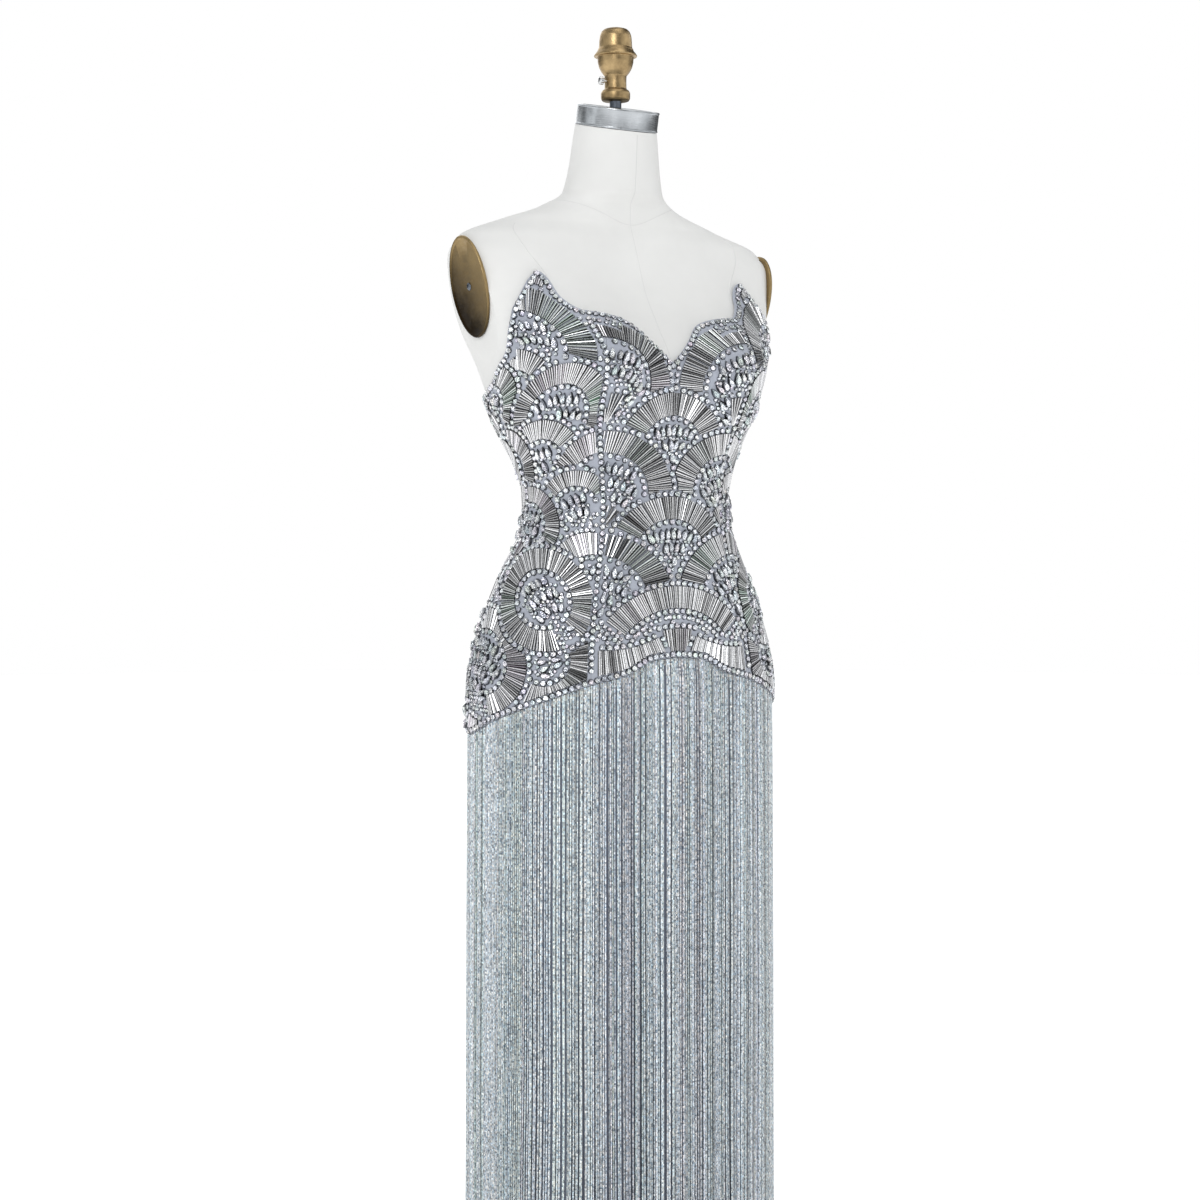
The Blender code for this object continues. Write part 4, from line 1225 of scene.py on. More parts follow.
    def halo_ring(self, gore: Gore, fan: Fan, fans: list[Fan]) -> tuple[Array, Array]:
        """Bugles beyond a fan's outer arc, where no fan lies and this one is the nearest.

        Returns:
            Start and end of each bugle, as girth distance and height.
        """
        half = self.stone / 2
        middle = fan.outer + self.halo / 3
        turn = np.linspace(-math.pi, math.pi, int(2 * math.pi * middle / self.bugle_pitch))
        away = np.linspace(fan.outer + half, fan.outer + self.halo, 32)
        across, height = fan.spots(turn[:, None], away[None])
        free = self.shown(gore, fans, across, height, half, self.seam_margin, self.edge_margin)
        for other in fans:
            if other is not fan and not other.patch:
                free &= other.polar(across, height)[0] - other.outer > away[None] - fan.outer
        return self.longest(fan, turn, away, free)

    def longest(self, fan: Fan, turn: Array, away: Array, free: Array) -> tuple[Array, Array]:
        """The longest free stretch on each ray from a fan's centre, where it is long enough."""
        run, best, end = (np.zeros(len(turn), int) for _ in range(3))
        for step in range(len(away)):
            run = np.where(free[:, step], run + 1, 0)
            longer = run > best
            best = np.where(longer, run, best)
            end = np.where(longer, step, end)
        pitch = away[1] - away[0]
        keep = (best - 1) * pitch > self.bugle_shortest
        turn, end, best = turn[keep], end[keep], best[keep]
        low = np.stack(fan.spots(turn, away[end - best + 1]), -1)
        high = np.stack(fan.spots(turn, away[end]), -1)
        return low, high

    def bugle_tints_and_painted_reflection(self, low: Array, turn: Array) -> Array:
        """Tints: silver for upright bugles to graphite for level ones as a painted reflection,
        random tone, green or rose in patches.
        """
        count = len(low)
        # painted reflection: level bugles are painted darker, as their glass reflects less light
        side = np.clip((np.abs(np.sin(turn)) - 0.40) / 0.45, 0, 1)
        tone = np.clip(0.96 - 0.34 * side + self.random.normal(0, 0.20, count), 0.16, 1.05)
        patch = np.sin(61 * low[:, 0] + 1.1) * np.sin(53 * low[:, 1] + 0.4)
        green = np.clip((patch - 0.15) * 1.8, 0, 1) * side * self.random.uniform(0.2, 1, count)
        rose = np.clip((-patch - 0.55) * 1.8, 0, 1) * self.random.uniform(0.0, 1, count)
        tints = tone[:, None] * np.array((1.0, 1.0, 1.01))
        tints += green[:, None] * np.array((-0.10, 0.0, -0.07))
        tints += rose[:, None] * np.array((0.02, -0.06, 0.02))
        return np.clip(tints, 0.05, 1.05)

    def bugles_object(self, gore: Gore, low: Array, high: Array) -> None:
        """Makes one piece of a gore's bugles: six-sided tubes on a flared foot, wider outwards.

        The first four sides of a tube are its glass, the last two its foot. The foot is flared and
        painted dark, and the glass's two side edges are painted darker: painted shade between two
        bugles.
        """
        out = self.bugle_outer + 0.35 * MM
        ends = [self.surface.place(p[:, 0], p[:, 1], Cloths.bodice_face(p[:, 1]) + out)
                for p in (low, high)]
        up = self.surface.normal(self.surface.angle_at(low[:, 0], low[:, 1]), low[:, 1])
        roll = self.random.normal(0, 0.25, len(low))[:, None]
        sideways = np.cross(unit(ends[1] - ends[0]), up)
        up = unit(up + roll * sideways)
        paths = np.stack(ends, 1)
        lift = self.random.uniform(-0.25, 0.25, (len(low), 1, 1)) * MM
        paths = paths + lift * up[:, None]
        length = np.linalg.norm(ends[1] - ends[0], axis=1) / self.bugle_taper
        thin = self.bugle_outer - (self.bugle_outer - self.bugle_inner) * np.minimum(length, 1)
        radii = np.stack((thin, np.full(len(low), self.bugle_outer)), 1)
        # the flared foot is a dark sheet that stands for the painted shade between bugles
        foot = np.array((1.0, 1.0, 1.0, 1.0, 2.5, 2.5))
        points, faces = tubes(paths, np.repeat(up[:, None], 2, axis=1), radii, 6, foot)
        turn = np.arctan2(high[:, 0] - low[:, 0], high[:, 1] - low[:, 1])
        # painted shade: each bugle's side edges (0.12) and foot (0.03) are darkened
        dark = np.array((0.12, 1.0, 1.0, 0.12, 0.03, 0.03))
        tints = self.bugle_tints_and_painted_reflection(low, turn)[:, None] * np.tile(dark, 2)[None, :, None]
        tints = tints.reshape(-1, 3)
        add_piece(f"bugles_{gore.name}", points, faces, self.finishes.glass, "beaded_cloth",
                  smooth=False, tints=tints)

    def fill_fan(self, gore: Gore, fan: Fan, later: list[Fan], stones: Beads, drops: Beads) -> None:
        """Rows of drop stones on arcs about the fan's tip, or a close band of round stones."""
        if fan.filling is Filling.BARE:
            return
        if fan.filling is Filling.CLUSTER:
            reach = math.radians(fan.reach)
            rows = np.arange(fan.outer - self.cluster_rows, fan.inner, -self.cluster_rows)
            for row, radius in enumerate(rows):
                count = max(int(2 * reach * radius * fan.wide / self.cluster_pitch), 1)
                turn = np.linspace(-reach, reach, count)
                turn = turn + (row % 2) * self.cluster_pitch / 2 / radius
                turn = turn + self.random.normal(0, self.cluster_stray / radius, count)
                across, height = fan.spots(turn, radius)
                free = self.shown(gore, later, across, height, self.cluster_margin,
                                  self.seam_margin, self.edge_margin)
                self.sew(stones, across[free], height[free], turn[free],
                         self.cluster_share * self.stone, self.cluster_clear)
            return
        tip_drop = self.tip_share * fan.outer
        top = fan.inner + tip_drop - self.bare_band - self.drop / 2 - self.stone / 2
        rows = np.arange(top, 2 * MM, -self.drop_rows)
        lean = fan.heading
        tip = (fan.across - tip_drop * math.sin(lean), fan.height - tip_drop * math.cos(lean))
        for number, radius in enumerate(rows):
            step = self.drop_pitch / radius
            count = int(self.drop_reach / step)
            turn = (np.arange(-count, count + 1) + 0.5 * (number % 2)) * step
            turn = turn + self.random.normal(0, 0.05, len(turn)) * step
            across = tip[0] + radius * np.sin(turn + lean)
            height = tip[1] + radius * np.cos(turn + lean)
            away, off = fan.polar(across, height)
            free = (away < fan.inner - self.drop * 0.45) | (np.abs(off) > math.radians(fan.reach))
            free &= self.shown(gore, later, across, height, self.drop * 0.42, self.drop * 0.40,
                               self.edge_margin + 2 * MM)
            heading = (turn + lean + self.random.normal(0, 0.18, len(turn)))[free]
            self.sew(drops, across[free], height[free], heading, self.drop, self.drop_clear)

    def small_stones(self, gore: Gore, fans: list[Fan], stones: Beads) -> None:
        """Small round stones on what is left of the fields, from a jittered triangular grid."""
        rows = np.arange(self.small_low, self.small_high, self.small_pitch * 0.87)
        low, high = (float(self.surface.across_at(np.array([a]), np.array([1.0]))[0])
                     for a in (gore.first, gore.last))
        reach = np.arange(low - self.small_beyond, high + self.small_beyond, self.small_pitch)
        across, height = np.meshgrid(reach, rows)
        across = across + (np.arange(len(rows)) % 2)[:, None] * self.small_pitch / 2
        across, height = (a.ravel() + self.random.normal(0, 0.5 * MM, a.size)
                          for a in (across, height))
        for number, fan in enumerate(fans):
            if fan.filling is Filling.CLUSTER or fan.patch:
                continue
            away, off = fan.polar(across, height)
            band = fan.inner - self.bare_band - self.stone / 2
            free = (away < band) | ((np.abs(off) > math.radians(fan.reach)) & (away < fan.outer))
            free &= self.shown(gore, fans[number + 1:], across, height, 3 * MM, self.seam_margin,
                                self.edge_margin)
            self.sew(stones, across[free], height[free], off[free], self.small_stone,
                     self.small_clear)

    def dress(self, gore: Gore) -> None:
        """Makes the bugles, stones and drops of a gore."""
        stones, drops = Beads(), Beads()
        fans = gore.ordered()
        laters = [fans[number + 1:] for number in range(len(fans))]
        rings = []
        for fan, later in zip(fans, laters):
            if fan.filling is not Filling.CLUSTER and fan.reach:
                rings.append(self.bugle_ring(gore, fan, later))
            if not fan.patch:
                rings.append(self.halo_ring(gore, fan, fans))
        for fan, later in zip(fans, laters):
            reach = math.radians(fan.reach)
            self.arc_stones(gore, fan, later, fan.outer, reach if fan.patch else math.pi, stones)
            if fan.reach and fan.filling is not Filling.CLUSTER:
                self.arc_stones(gore, fan, later, fan.inner, reach, stones)
            if fan.framed:
                self.end_stones(gore, fan, later, stones)
        for fan, later in zip(fans, laters):
            self.fill_fan(gore, fan, later, stones, drops)
        self.small_stones(gore, fans, stones)
        self.bugles_object(gore, *(np.concatenate(ends) for ends in zip(*rings)))
        self.stones_object(f"stones_{gore.name}", stones, BeadShapes.round_stone())
        self.stones_object(f"drops_{gore.name}", drops, BeadShapes.drop_stone())

    def row_along(self, beads: Beads, angle: Array, height: Array, size: float,
                  pitch: float) -> None:
        """A row of round stones along a line given by many angles and heights."""
        across = self.surface.across_at(angle, height)
        line = self.surface.point(angle, height)
        run = np.concatenate(([0], np.cumsum(np.linalg.norm(np.diff(line, axis=0), axis=1))))
        stops = np.linspace(0, run[-1], int(run[-1] / pitch) + 1)
        across, height = np.interp(stops, run, across), np.interp(stops, run, height)
        self.sew(beads, across, height, np.zeros(len(stops)), size, 0.84 * pitch)

    def outline(self) -> None:
        """Rows of stones along the neckline, the hem and the seams."""
        beads = Beads()
        for line, side, end in ((self.surface.neckline, -1, self.neckline_row_end),
                                (self.surface.hem, 1, self.hem_row_end)):
            angle = np.linspace(-end, end, 3000)
            steep = line.slope(angle) / METRES_PER_DEGREE
            shift = self.edge_row / np.sqrt(1 + steep**2)
            height = line.height(angle) + side * shift
            turn = -side * steep * shift / GOWN_RADIUS
            self.row_along(beads, angle + np.degrees(turn), height, self.stone, self.stone_pitch)
        for seam in (PRINCESS, SIDE, BACK_PRINCESS):
            for sign in (-1, 1):
                low = self.surface.hem.height(np.array([seam]))[0] + self.seam_row_end
                high = self.surface.neckline.height(np.array([seam]))[0] - self.seam_row_end
                height = np.linspace(low, high, 400)
                self.row_along(beads, self.seam_angle(sign * seam, height), height, self.stone,
                               self.stone_pitch)
        self.stones_object("stones_outline", beads, BeadShapes.round_stone())


@dataclass
class Bodice:
    """The seven gores of beaded net.

    The two back gores close under the zip's foot: their gap goes from the zip's to the seams'
    over a short height.
    """

    surface: BodySurface
    finishes: Finishes
    across_steps: int = 40
    height_steps: int = 84
    zip_gap: float = 3.3 * MM
    closed_to: float = 0.946
    closing_height: float = 0.004

    def gores(self) -> list[Gore]:
        """The gores from the front round to the back."""
        side_right = tuple(f.mirrored() for f in SIDE_FRONT_FANS)
        back = back_fans(self.surface)
        back_right = tuple(f.mirrored() for f in back)
        return [
            Gore("front_centre", -PRINCESS, PRINCESS, FRONT_FANS),
            Gore("side_front_left", PRINCESS, SIDE, SIDE_FRONT_FANS),
            Gore("side_front_right", -SIDE, -PRINCESS, side_right),
            Gore("side_back_left", SIDE, BACK_PRINCESS, back),
            Gore("side_back_right", -BACK_PRINCESS, -SIDE, back_right),
            Gore("back_left", BACK_PRINCESS, CENTRE_BACK, back, last_gap=self.zip_gap),
            Gore("back_right", -CENTRE_BACK, -BACK_PRINCESS, back_right,
                 first_gap=self.zip_gap),
        ]

    def cloth(self, gore: Gore) -> None:
        """A gore's net: a wall on the body from the hem up to the neckline.

        Angle goes from seam to seam, height from the hem's to the neckline's at that angle.
        """
        u = np.linspace(0, 1, self.across_steps)[:, None]
        v = np.linspace(0, 1, self.height_steps)[None]
        angle = gore.first + (gore.last - gore.first) * u + 0 * v
        height = self.surface.hem.height(angle) * (1 - v) + self.surface.neckline.height(angle) * v
        across = self.surface.across_at(angle, height)
        opening = np.clip((height - self.closed_to) / self.closing_height, 0, 1)
        start, end = (SEAM_GAP + (gap - SEAM_GAP) * opening
                      for gap in (gore.first_gap, gore.last_gap))
        across = across + start * (1 - u) - end * u
        inside = Cloths.bodice_inside(height)
        outer = self.surface.place(across, height, inside + Cloths.bodice_wall)
        inner = self.surface.place(across, height, inside)
        points, faces = closed_wall(outer, inner)
        flat = np.stack((across, height), -1).reshape(-1, 2)
        piece = add_piece(f"cloth_{gore.name}", points, faces, self.finishes.net, "beaded_cloth",
                          f"bodice_{gore.name}", sheet_uv=np.concatenate((flat, flat)), sharp=50.0)

    def build(self) -> None:
        """Cloth and beading of every gore."""
        beading = Beading(self.surface, self.finishes)
        beading.outline()
        for gore in self.gores():
            self.cloth(gore)
            beading.dress(gore)


@dataclass
class Skirt:
    """Plain crepe skirt under the fringe, in two halves, with soft upright folds.

    side_gap is the angle between a side seam and the edge of a half, in degrees.
    """

    surface: BodySurface
    finishes: Finishes
    top: float = 0.965
    hem: float = 0.045
    fold_depth: float = 3.0 * MM
    fold_top: float = 0.80
    fold_length: float = 0.6
    side_gap: float = 0.05

    def half(self, name: str, first: float, last: float) -> None:
        """One half between the side seams, its folds deepening from the hip to the hem."""
        u = np.linspace(0, 1, 150)[:, None]
        height = np.concatenate((np.linspace(self.hem, self.fold_top, 30),
                                 np.linspace(0.82, self.top, 12)))
        angle = first + (last - first) * u + 0 * height[None]
        height = np.broadcast_to(height, angle.shape)
        deep = np.clip((self.fold_top - height) / self.fold_length, 0, 1)
        wave = np.sin(np.radians(angle) * 19 + 0.8 * np.sin(np.radians(angle) * 5)) - 1
        shift = self.fold_depth * deep * wave / 2 * np.sin(np.pi * u)**0.5
        outer, inner = self.surface.layers(
            angle, height, Cloths.skirt_inside + Cloths.skirt_wall + shift,
            Cloths.skirt_inside + shift)
        points, faces = closed_wall(outer, inner)
        piece = add_piece(f"cloth_skirt_{name}", points, faces, self.finishes.crepe, "skirt_cloth",
                          f"skirt_{name}", sharp=50.0)

    def build(self) -> None:
        """Both halves."""
        self.half("front", -SIDE + self.side_gap, SIDE - self.side_gap)
        self.half("back", SIDE + self.side_gap, 360 - SIDE - self.side_gap)


@dataclass
class Fringe:
    """Long strands of seed beads, hung from a narrow header under the bodice's hem.

    The strands hang evenly over the hips, round calm_angle, and mix more to the front and back.
    side_gap is the angle between a side seam and the edge of a half, in degrees.
    """

    surface: BodySurface
    finishes: Finishes
    pitch: float = 2.25 * MM
    radius: float = 1.05 * MM
    header_inside: float = 2.6 * MM
    header_wall: float = 0.8 * MM
    header_height: float = 7.0 * MM
    header_gap: float = 0.6 * MM
    end: float = 0.030
    end_stray: float = 5.5 * MM
    pitch_height: float = 0.885
    side_gap: float = 0.1
    steps: int = 16
    sides: int = 6
    calm_angle: float = 73.0
    calm_spread: float = 12.0

    def half(self, name: str, first: float, last: float, seed: int) -> None:
        """Strands between the side seams.

        A strand keeps its angle. It sways sideways by a few waves of height that neighbours
        share, and stands off the skirt by its own amount.
        """
        random = np.random.default_rng(seed)
        level = np.linspace(first, last, 2000)
        ring = self.surface.point(level, np.full(len(level), self.pitch_height))
        run = np.concatenate(([0], np.cumsum(np.linalg.norm(np.diff(ring, axis=0), axis=1))))
        count = int(run[-1] / self.pitch)
        stops = (np.arange(count) + 0.5) * run[-1] / count
        crowd = 0.5 * np.sin(stops * 311) + 0.5 * np.sin(stops * 173 + 1.3)
        side = np.abs(wrap(np.interp(stops, run, level)))
        calm = np.exp(-((side - self.calm_angle) / self.calm_spread)**4)
        stray = 0.30 * random.normal(size=count).clip(-2, 2) + 0.35 * crowd
        stops = stops + self.pitch * (1 - 0.85 * calm) * stray
        stops = np.clip(np.sort(stops), self.radius, run[-1] - self.radius)
        angle = np.interp(stops, run, level)[:, None]
        start = self.surface.hem.height(wrap(angle)) - self.header_gap
        finish = self.end + random.uniform(0, self.end_stray, (count, 1))
        drop = np.concatenate(([0, 0.004, 0.012], np.linspace(0.03, 1, self.steps - 3)))[None]
        height = start + (finish - start) * drop
        loose = np.clip((start - height) / 0.8, 0, 1)
        sway = 1.1 * MM * loose * (np.sin(height * 9 + stops[:, None] * 23)
                                   + 0.6 * np.sin(height * 17 + stops[:, None] * 41 + 2))
        sway = sway + (0.9 * MM * (1 - 0.7 * calm))[:, None] * loose * random.normal(
            size=(count, 1)).clip(-2, 2)
        angle = angle + np.degrees(sway / GOWN_RADIUS)
        layer = random.uniform(0.0, 1.0, (count, 1))
        out = self.header_inside + self.radius * (0.6 + 0.9 * layer) * (0.5 + 0.5 * loose)
        normal = self.surface.normal(angle, height)
        path = self.surface.point(angle, height) + out[..., None] * normal
        radii = self.radius * (0.92 + 0.16 * random.uniform(size=(count, 1))) + 0 * height
        points, faces = tubes(path, normal, radii, self.sides)
        spread = 0.10 * (1 - 0.75 * calm)
        tone = 0.70 + spread * random.normal(size=count) + 0.05 * np.sin(stops * 57) + 0.03 * calm
        dark = random.uniform(size=count) < 0.11 * (1 - calm)
        tone = np.where(dark, 0.36 + 0.06 * random.normal(size=count), tone).clip(0.2, 0.95)
        hue = np.array((0.925, 1.0, 1.065)) + 0.02 * random.normal(size=(count, 3))
        tints = np.repeat(tone[:, None] * hue, self.steps * self.sides, axis=0)
        strip, strip_faces = self.header(first, last)
        faces = faces + [f + len(points) for f in strip_faces]
        tints = np.concatenate((tints, np.full((len(strip), 3), 0.3)))
        add_piece(f"strands_{name}", np.concatenate((points, strip)), faces,
                  self.finishes.strands, "fringe_beads", f"fringe_{name}", tints=tints, sharp=60.0)

    def header(self, first: float, last: float) -> tuple[Array, Faces]:
        """The narrow strip that the strands are sewn to."""
        u = np.linspace(0, 1, 120)[:, None]
        v = np.linspace(0, 1, 3)[None]
        angle = first + (last - first) * u + 0 * v
        top = self.surface.hem.height(wrap(angle)) - self.header_gap
        height = top - self.header_height * (1 - v)
        return closed_wall(*self.surface.layers(
            angle, height, self.header_inside + self.header_wall, self.header_inside))

    def build(self) -> None:
        """Both halves."""
        self.half("front", -SIDE + self.side_gap, SIDE - self.side_gap, 5)
        self.half("back", SIDE + self.side_gap, 360 - SIDE - self.side_gap, 6)


def wrap(angle: Array) -> Array:
    """Angles brought into -180 to 180 degrees."""
    return (angle + 180.0) % 360.0 - 180.0


@dataclass
class DressForm:
    """The canvas form with its seams, neck cap, knob, arm plates and stand.

    The profiles are tables of radius and height, in metres, or in millimetres for the screws.
    """

    surface: BodySurface
    finishes: Finishes
    seat_gap: float = 0.3 * MM
    seam_radius: float = 0.60 * MM
    arm_step: float = 0.25
    bottom: float = 0.800
    rounding: float = 0.012
    inset: float = 0.94
    cap_radius: float = 0.0470
    cap_height: float = 0.0225
    plate_wall: float = 3.5 * MM
    plate_half: tuple[float, float] = (0.0560, 0.0395)
    finial_bottom: float = 1.5312
    finial_y: float = -0.001
    collar_bottom: float = 0.0078

    def arm_span(self, height: Array) -> tuple[Array, Array]:
        """Angles where the arm's flat end starts and stops at each height.

        They are read where the whole section is wider than the arm's plane. Elsewhere they lie
        close beside the widest point.
        """
        angle = np.arange(40.0, 140.01, self.arm_step)
        whole = self.surface.point(angle[None], height[:, None], clamp=False)[..., 0]
        limit = np.where(height > self.surface.arm_from, self.surface.arm_limit(height), 1.0)
        beyond = whole - limit[:, None]
        widest = beyond.argmax(axis=1)
        rows = np.arange(len(height))
        first, last = angle[widest] - 1.5, angle[widest] + 1.5
        cut = beyond[rows, widest] > 0
        for row in rows[cut]:
            wide = np.flatnonzero(beyond[row] > 0)
            for side, end in ((-1, wide[0]), (1, wide[-1])):
                near = int(np.clip(end + side, 0, len(angle) - 1))
                share = beyond[row, end] / (beyond[row, end] - beyond[row, near] + 1e-9)
                spot = angle[end] + side * self.arm_step * np.clip(share, 0, 1)
                if side < 0:
                    first[row] = min(first[row], spot)
                else:
                    last[row] = max(last[row], spot)
        return first, last

    def canvas(self) -> None:
        """The canvas skin: rings of the body's surface, with a column on each arm's edge."""
        height = np.concatenate((np.linspace(self.bottom + self.rounding, 1.22, 40),
                                 np.linspace(1.226, 1.42, 66), np.linspace(1.424, 1.509, 26)))
        first, last = self.arm_span(height)
        parts = (30, 14, 26)
        share = [np.linspace(0, 1, n, endpoint=False)[None] for n in parts]
        half = np.concatenate((first[:, None] * share[0],
                               first[:, None] + (last - first)[:, None] * share[1],
                               last[:, None] + (180 - last)[:, None] * share[2],
                               np.full((len(height), 1), 180.0)), axis=1)
        angle = np.concatenate((half, -half[:, -2:0:-1]), axis=1)
        rings = self.surface.point(angle, height[:, None])
        foot = rings[0].copy()
        centre = foot.mean(axis=0)
        foot = centre + (foot - centre) * self.inset
        foot[:, 2] = self.bottom
        rings = np.concatenate((foot[None], rings))
        count, sides = rings.shape[:2]
        points = rings.reshape(-1, 3)
        caps = [np.arange(sides)[None, ::-1], np.arange(sides)[None] + (count - 1) * sides]
        add_piece("form_canvas", points, [ring_faces(count, sides)] + caps, self.finishes.canvas,
                  "canvas", "form_torso", sharp=38.0)

    def seams(self) -> None:
        """Fine raised seams: centre front and back, round the neck, over each bust and shoulder."""
        steps = 160
        rise = np.linspace(1.10, 1.505, steps)
        lines = [(np.full(steps, a), rise) for a in (0.0, 180.0)]
        around = np.linspace(-180, 180, steps)
        lines.append((around, 1.424 - 0.027 * np.maximum(np.cos(np.radians(around)), 0)**2))
        over, top = np.linspace(1.10, 1.392, steps), np.linspace(1.372, 1.424, steps)
        for side in (-1, 1):
            lines.append((side * (60.0 + 20.0 * np.clip((over - 1.29) / 0.10, 0, 2)**1.2), over))
            lines.append((side * (140.0 - 14.0 * np.clip((over - 1.26) / 0.13, 0, 1)), over))
            lines.append((np.full(steps, side * 96.0), top))
        angle, height = (np.array([line[i] for line in lines]) for i in (0, 1))
        normal = self.surface.normal(angle, height)
        paths = self.surface.point(angle, height) - self.seam_radius / 2 * normal
        points, faces = tubes(paths, normal, np.full(angle.shape, self.seam_radius), 8)
        add_piece("form_seams", points, faces, self.finishes.seam, "canvas")

    def neck_frame(self) -> tuple[Array, Array]:
        """Middle and axes of the neck's top."""
        tilt = self.surface.neck_tilt
        axes = np.array(((1, 0, 0), (0, math.cos(tilt), math.sin(tilt)),
                         (0, -math.sin(tilt), math.cos(tilt))))
        return np.array((0, self.surface.neck_y, self.surface.neck_top)), axes

    def cap(self) -> None:
        """Steel cap: a skirt with a rolled foot and a flat lid with a fine step."""
        radius, height = self.cap_radius, self.cap_height
        stops = [(0.0, 0.0), (radius - 1.2 * MM, 0.0), (radius, 0.4 * MM), (radius, 1.6 * MM),
                 (radius - 0.5 * MM, 2.2 * MM), (radius - 0.5 * MM, height - 2.4 * MM),
                 (radius, height - 1.8 * MM), (radius - 0.2 * MM, height - 0.4 * MM),
                 (radius - 1.6 * MM, height), (radius - 6 * MM, height),
                 (radius - 6.6 * MM, height - 0.5 * MM), (0.0, height - 0.5 * MM)]
        points, faces = turned_solid(rounded_profile(stops, 0.5 * MM), 96)
        middle, axes = self.neck_frame()
        points = middle + (points + (0, 0, self.seat_gap)) @ axes
        add_piece("cap_steel", points, faces, self.finishes.steel, "brushed_steel", "neck_cap",
                  sharp=35.0)

    def knob(self) -> None:
        """Turned brass knob with its collar, waist, cup and dome, and the rod under it.

        The rod's foot follows the cap's slope.
        """
        stops = [(0.0, 0.0), (0.0066, 0.0), (0.0066, 0.0080), (0.0150, 0.0086), (0.0164, 0.0110),
                 (0.0166, 0.0170), (0.0152, 0.0200), (0.0126, 0.0216), (0.0124, 0.0230),
                 (0.0122, 0.0300), (0.0124, 0.0364), (0.0134, 0.0376), (0.0162, 0.0412),
                 (0.0187, 0.0462), (0.0201, 0.0520), (0.0204, 0.0566), (0.0206, 0.0578),
                 (0.0240, 0.0580), (0.0245, 0.0590), (0.0230, 0.0614), (0.0206, 0.0642),
                 (0.0198, 0.0668), (0.0189, 0.0674), (0.0187, 0.0700), (0.0184, 0.0760),
                 (0.0178, 0.0812), (0.0162, 0.0857), (0.0132, 0.0886), (0.0080, 0.0901),
                 (0.0, 0.0905)]
        profile = rounded_profile(stops, 0.8 * MM, 3)
        points, faces = turned_solid(profile, 72)
        low = points[:, 2] < 1e-6
        slope = math.tan(self.surface.neck_tilt)
        seat = (self.surface.neck_top + self.cap_height / math.cos(self.surface.neck_tilt)
                + 0.4 * MM + slope * (points[:, 1] - self.finial_y))
        points = points + (0, self.finial_y, self.finial_bottom)
        points[low, 2] = seat[low]
        lowest = np.concatenate([points[f][:, :, 2].min(axis=1) for f in faces])
        slots = (lowest < self.finial_bottom + self.collar_bottom).astype(int)
        add_piece("knob_brass", points, faces, [self.finishes.brass, self.finishes.rod],
                  "dark_brass", "finial", slots=slots, sharp=40.0)

    def thumb_screw(self) -> None:
        """Small screw on the knob's neck: shank, knurled head and slot rim."""
        sides = 72
        turn = 2 * np.pi * np.arange(sides) / sides
        teeth = 1 + 0.07 * np.sign(np.sin(turn * 18))
        rings = []
        for radius, along, knurl in ((1.9, -0.9, 0), (1.9, 2.6, 0), (3.9, 2.9, 0), (4.4, 3.4, 1),
                                     (4.4, 7.0, 1), (3.9, 7.6, 0), (3.0, 8.0, 0), (1.6, 7.6, 0)):
            reach = radius * MM * (teeth if knurl else 1.0)
            rings.append(np.stack((np.full(sides, -along * MM), reach * np.cos(turn),
                                   -reach * np.sin(turn)), -1))
        rings = np.array(rings) + (-0.0134, self.finial_y, self.finial_bottom + 0.0300)
        last = (len(rings) - 1) * sides
        caps = [np.arange(sides)[None, ::-1], np.arange(sides)[None] + last]
        add_piece("thumb_screw", rings.reshape(-1, 3), [ring_faces(len(rings), sides)] + caps,
                  self.finishes.bright, "bright_steel", "finial_thumb_screw", sharp=30.0)

    def arm_plates(self) -> None:
        """Oval brass plates: a rolled rim round a slightly dished face, with a domed screw that has
        a small pit in its middle.
        """
        wall = self.plate_wall
        share = [(0.0, 0.0), (0.985, 0.0), (1.0, 0.25), (1.0, 0.72), (0.985, 0.97), (0.955, 1.0),
                 (0.935, 0.92), (0.915, 0.66), (0.6, 0.60), (0.3, 0.56), (0.0, 0.55)]
        profile = np.array([(r, z * wall) for r, z in share])
        lean = math.atan(self.surface.arm_slope)
        for name, side in (("left", 1), ("right", -1)):
            points, faces = turned_solid(profile, 96)
            points = points * (*self.plate_half, 1.0)
            out = np.array((side * math.cos(lean), 0, -math.sin(lean)))
            up = np.array((side * math.sin(lean), 0, math.cos(lean)))
            forward = np.cross(out, up)
            axes = np.array((up, forward, out))
            middle = np.array((side * self.surface.arm_side, 0, self.surface.arm_height))
            seat = middle + self.seat_gap * out
            add_piece(f"plate_{name}", seat + points @ axes, faces, self.finishes.plate,
                      "dark_brass", f"arm_plate_{name}", sharp=40.0)
            head = np.array([(0.0, 0.0), (4.0, 0.0), (4.2, 0.4), (3.8, 1.0), (2.6, 1.5), (0.9, 1.7),
                             (0.7, 0.9), (0.0, 0.9)]) * MM
            points, faces = turned_solid(head, 32)
            seat = middle + (self.seat_gap + 0.56 * wall) * out
            add_piece(f"screw_{name}", seat + points @ axes, faces, self.finishes.rod,
                      "bright_steel", f"arm_screw_{name}", sharp=35.0)

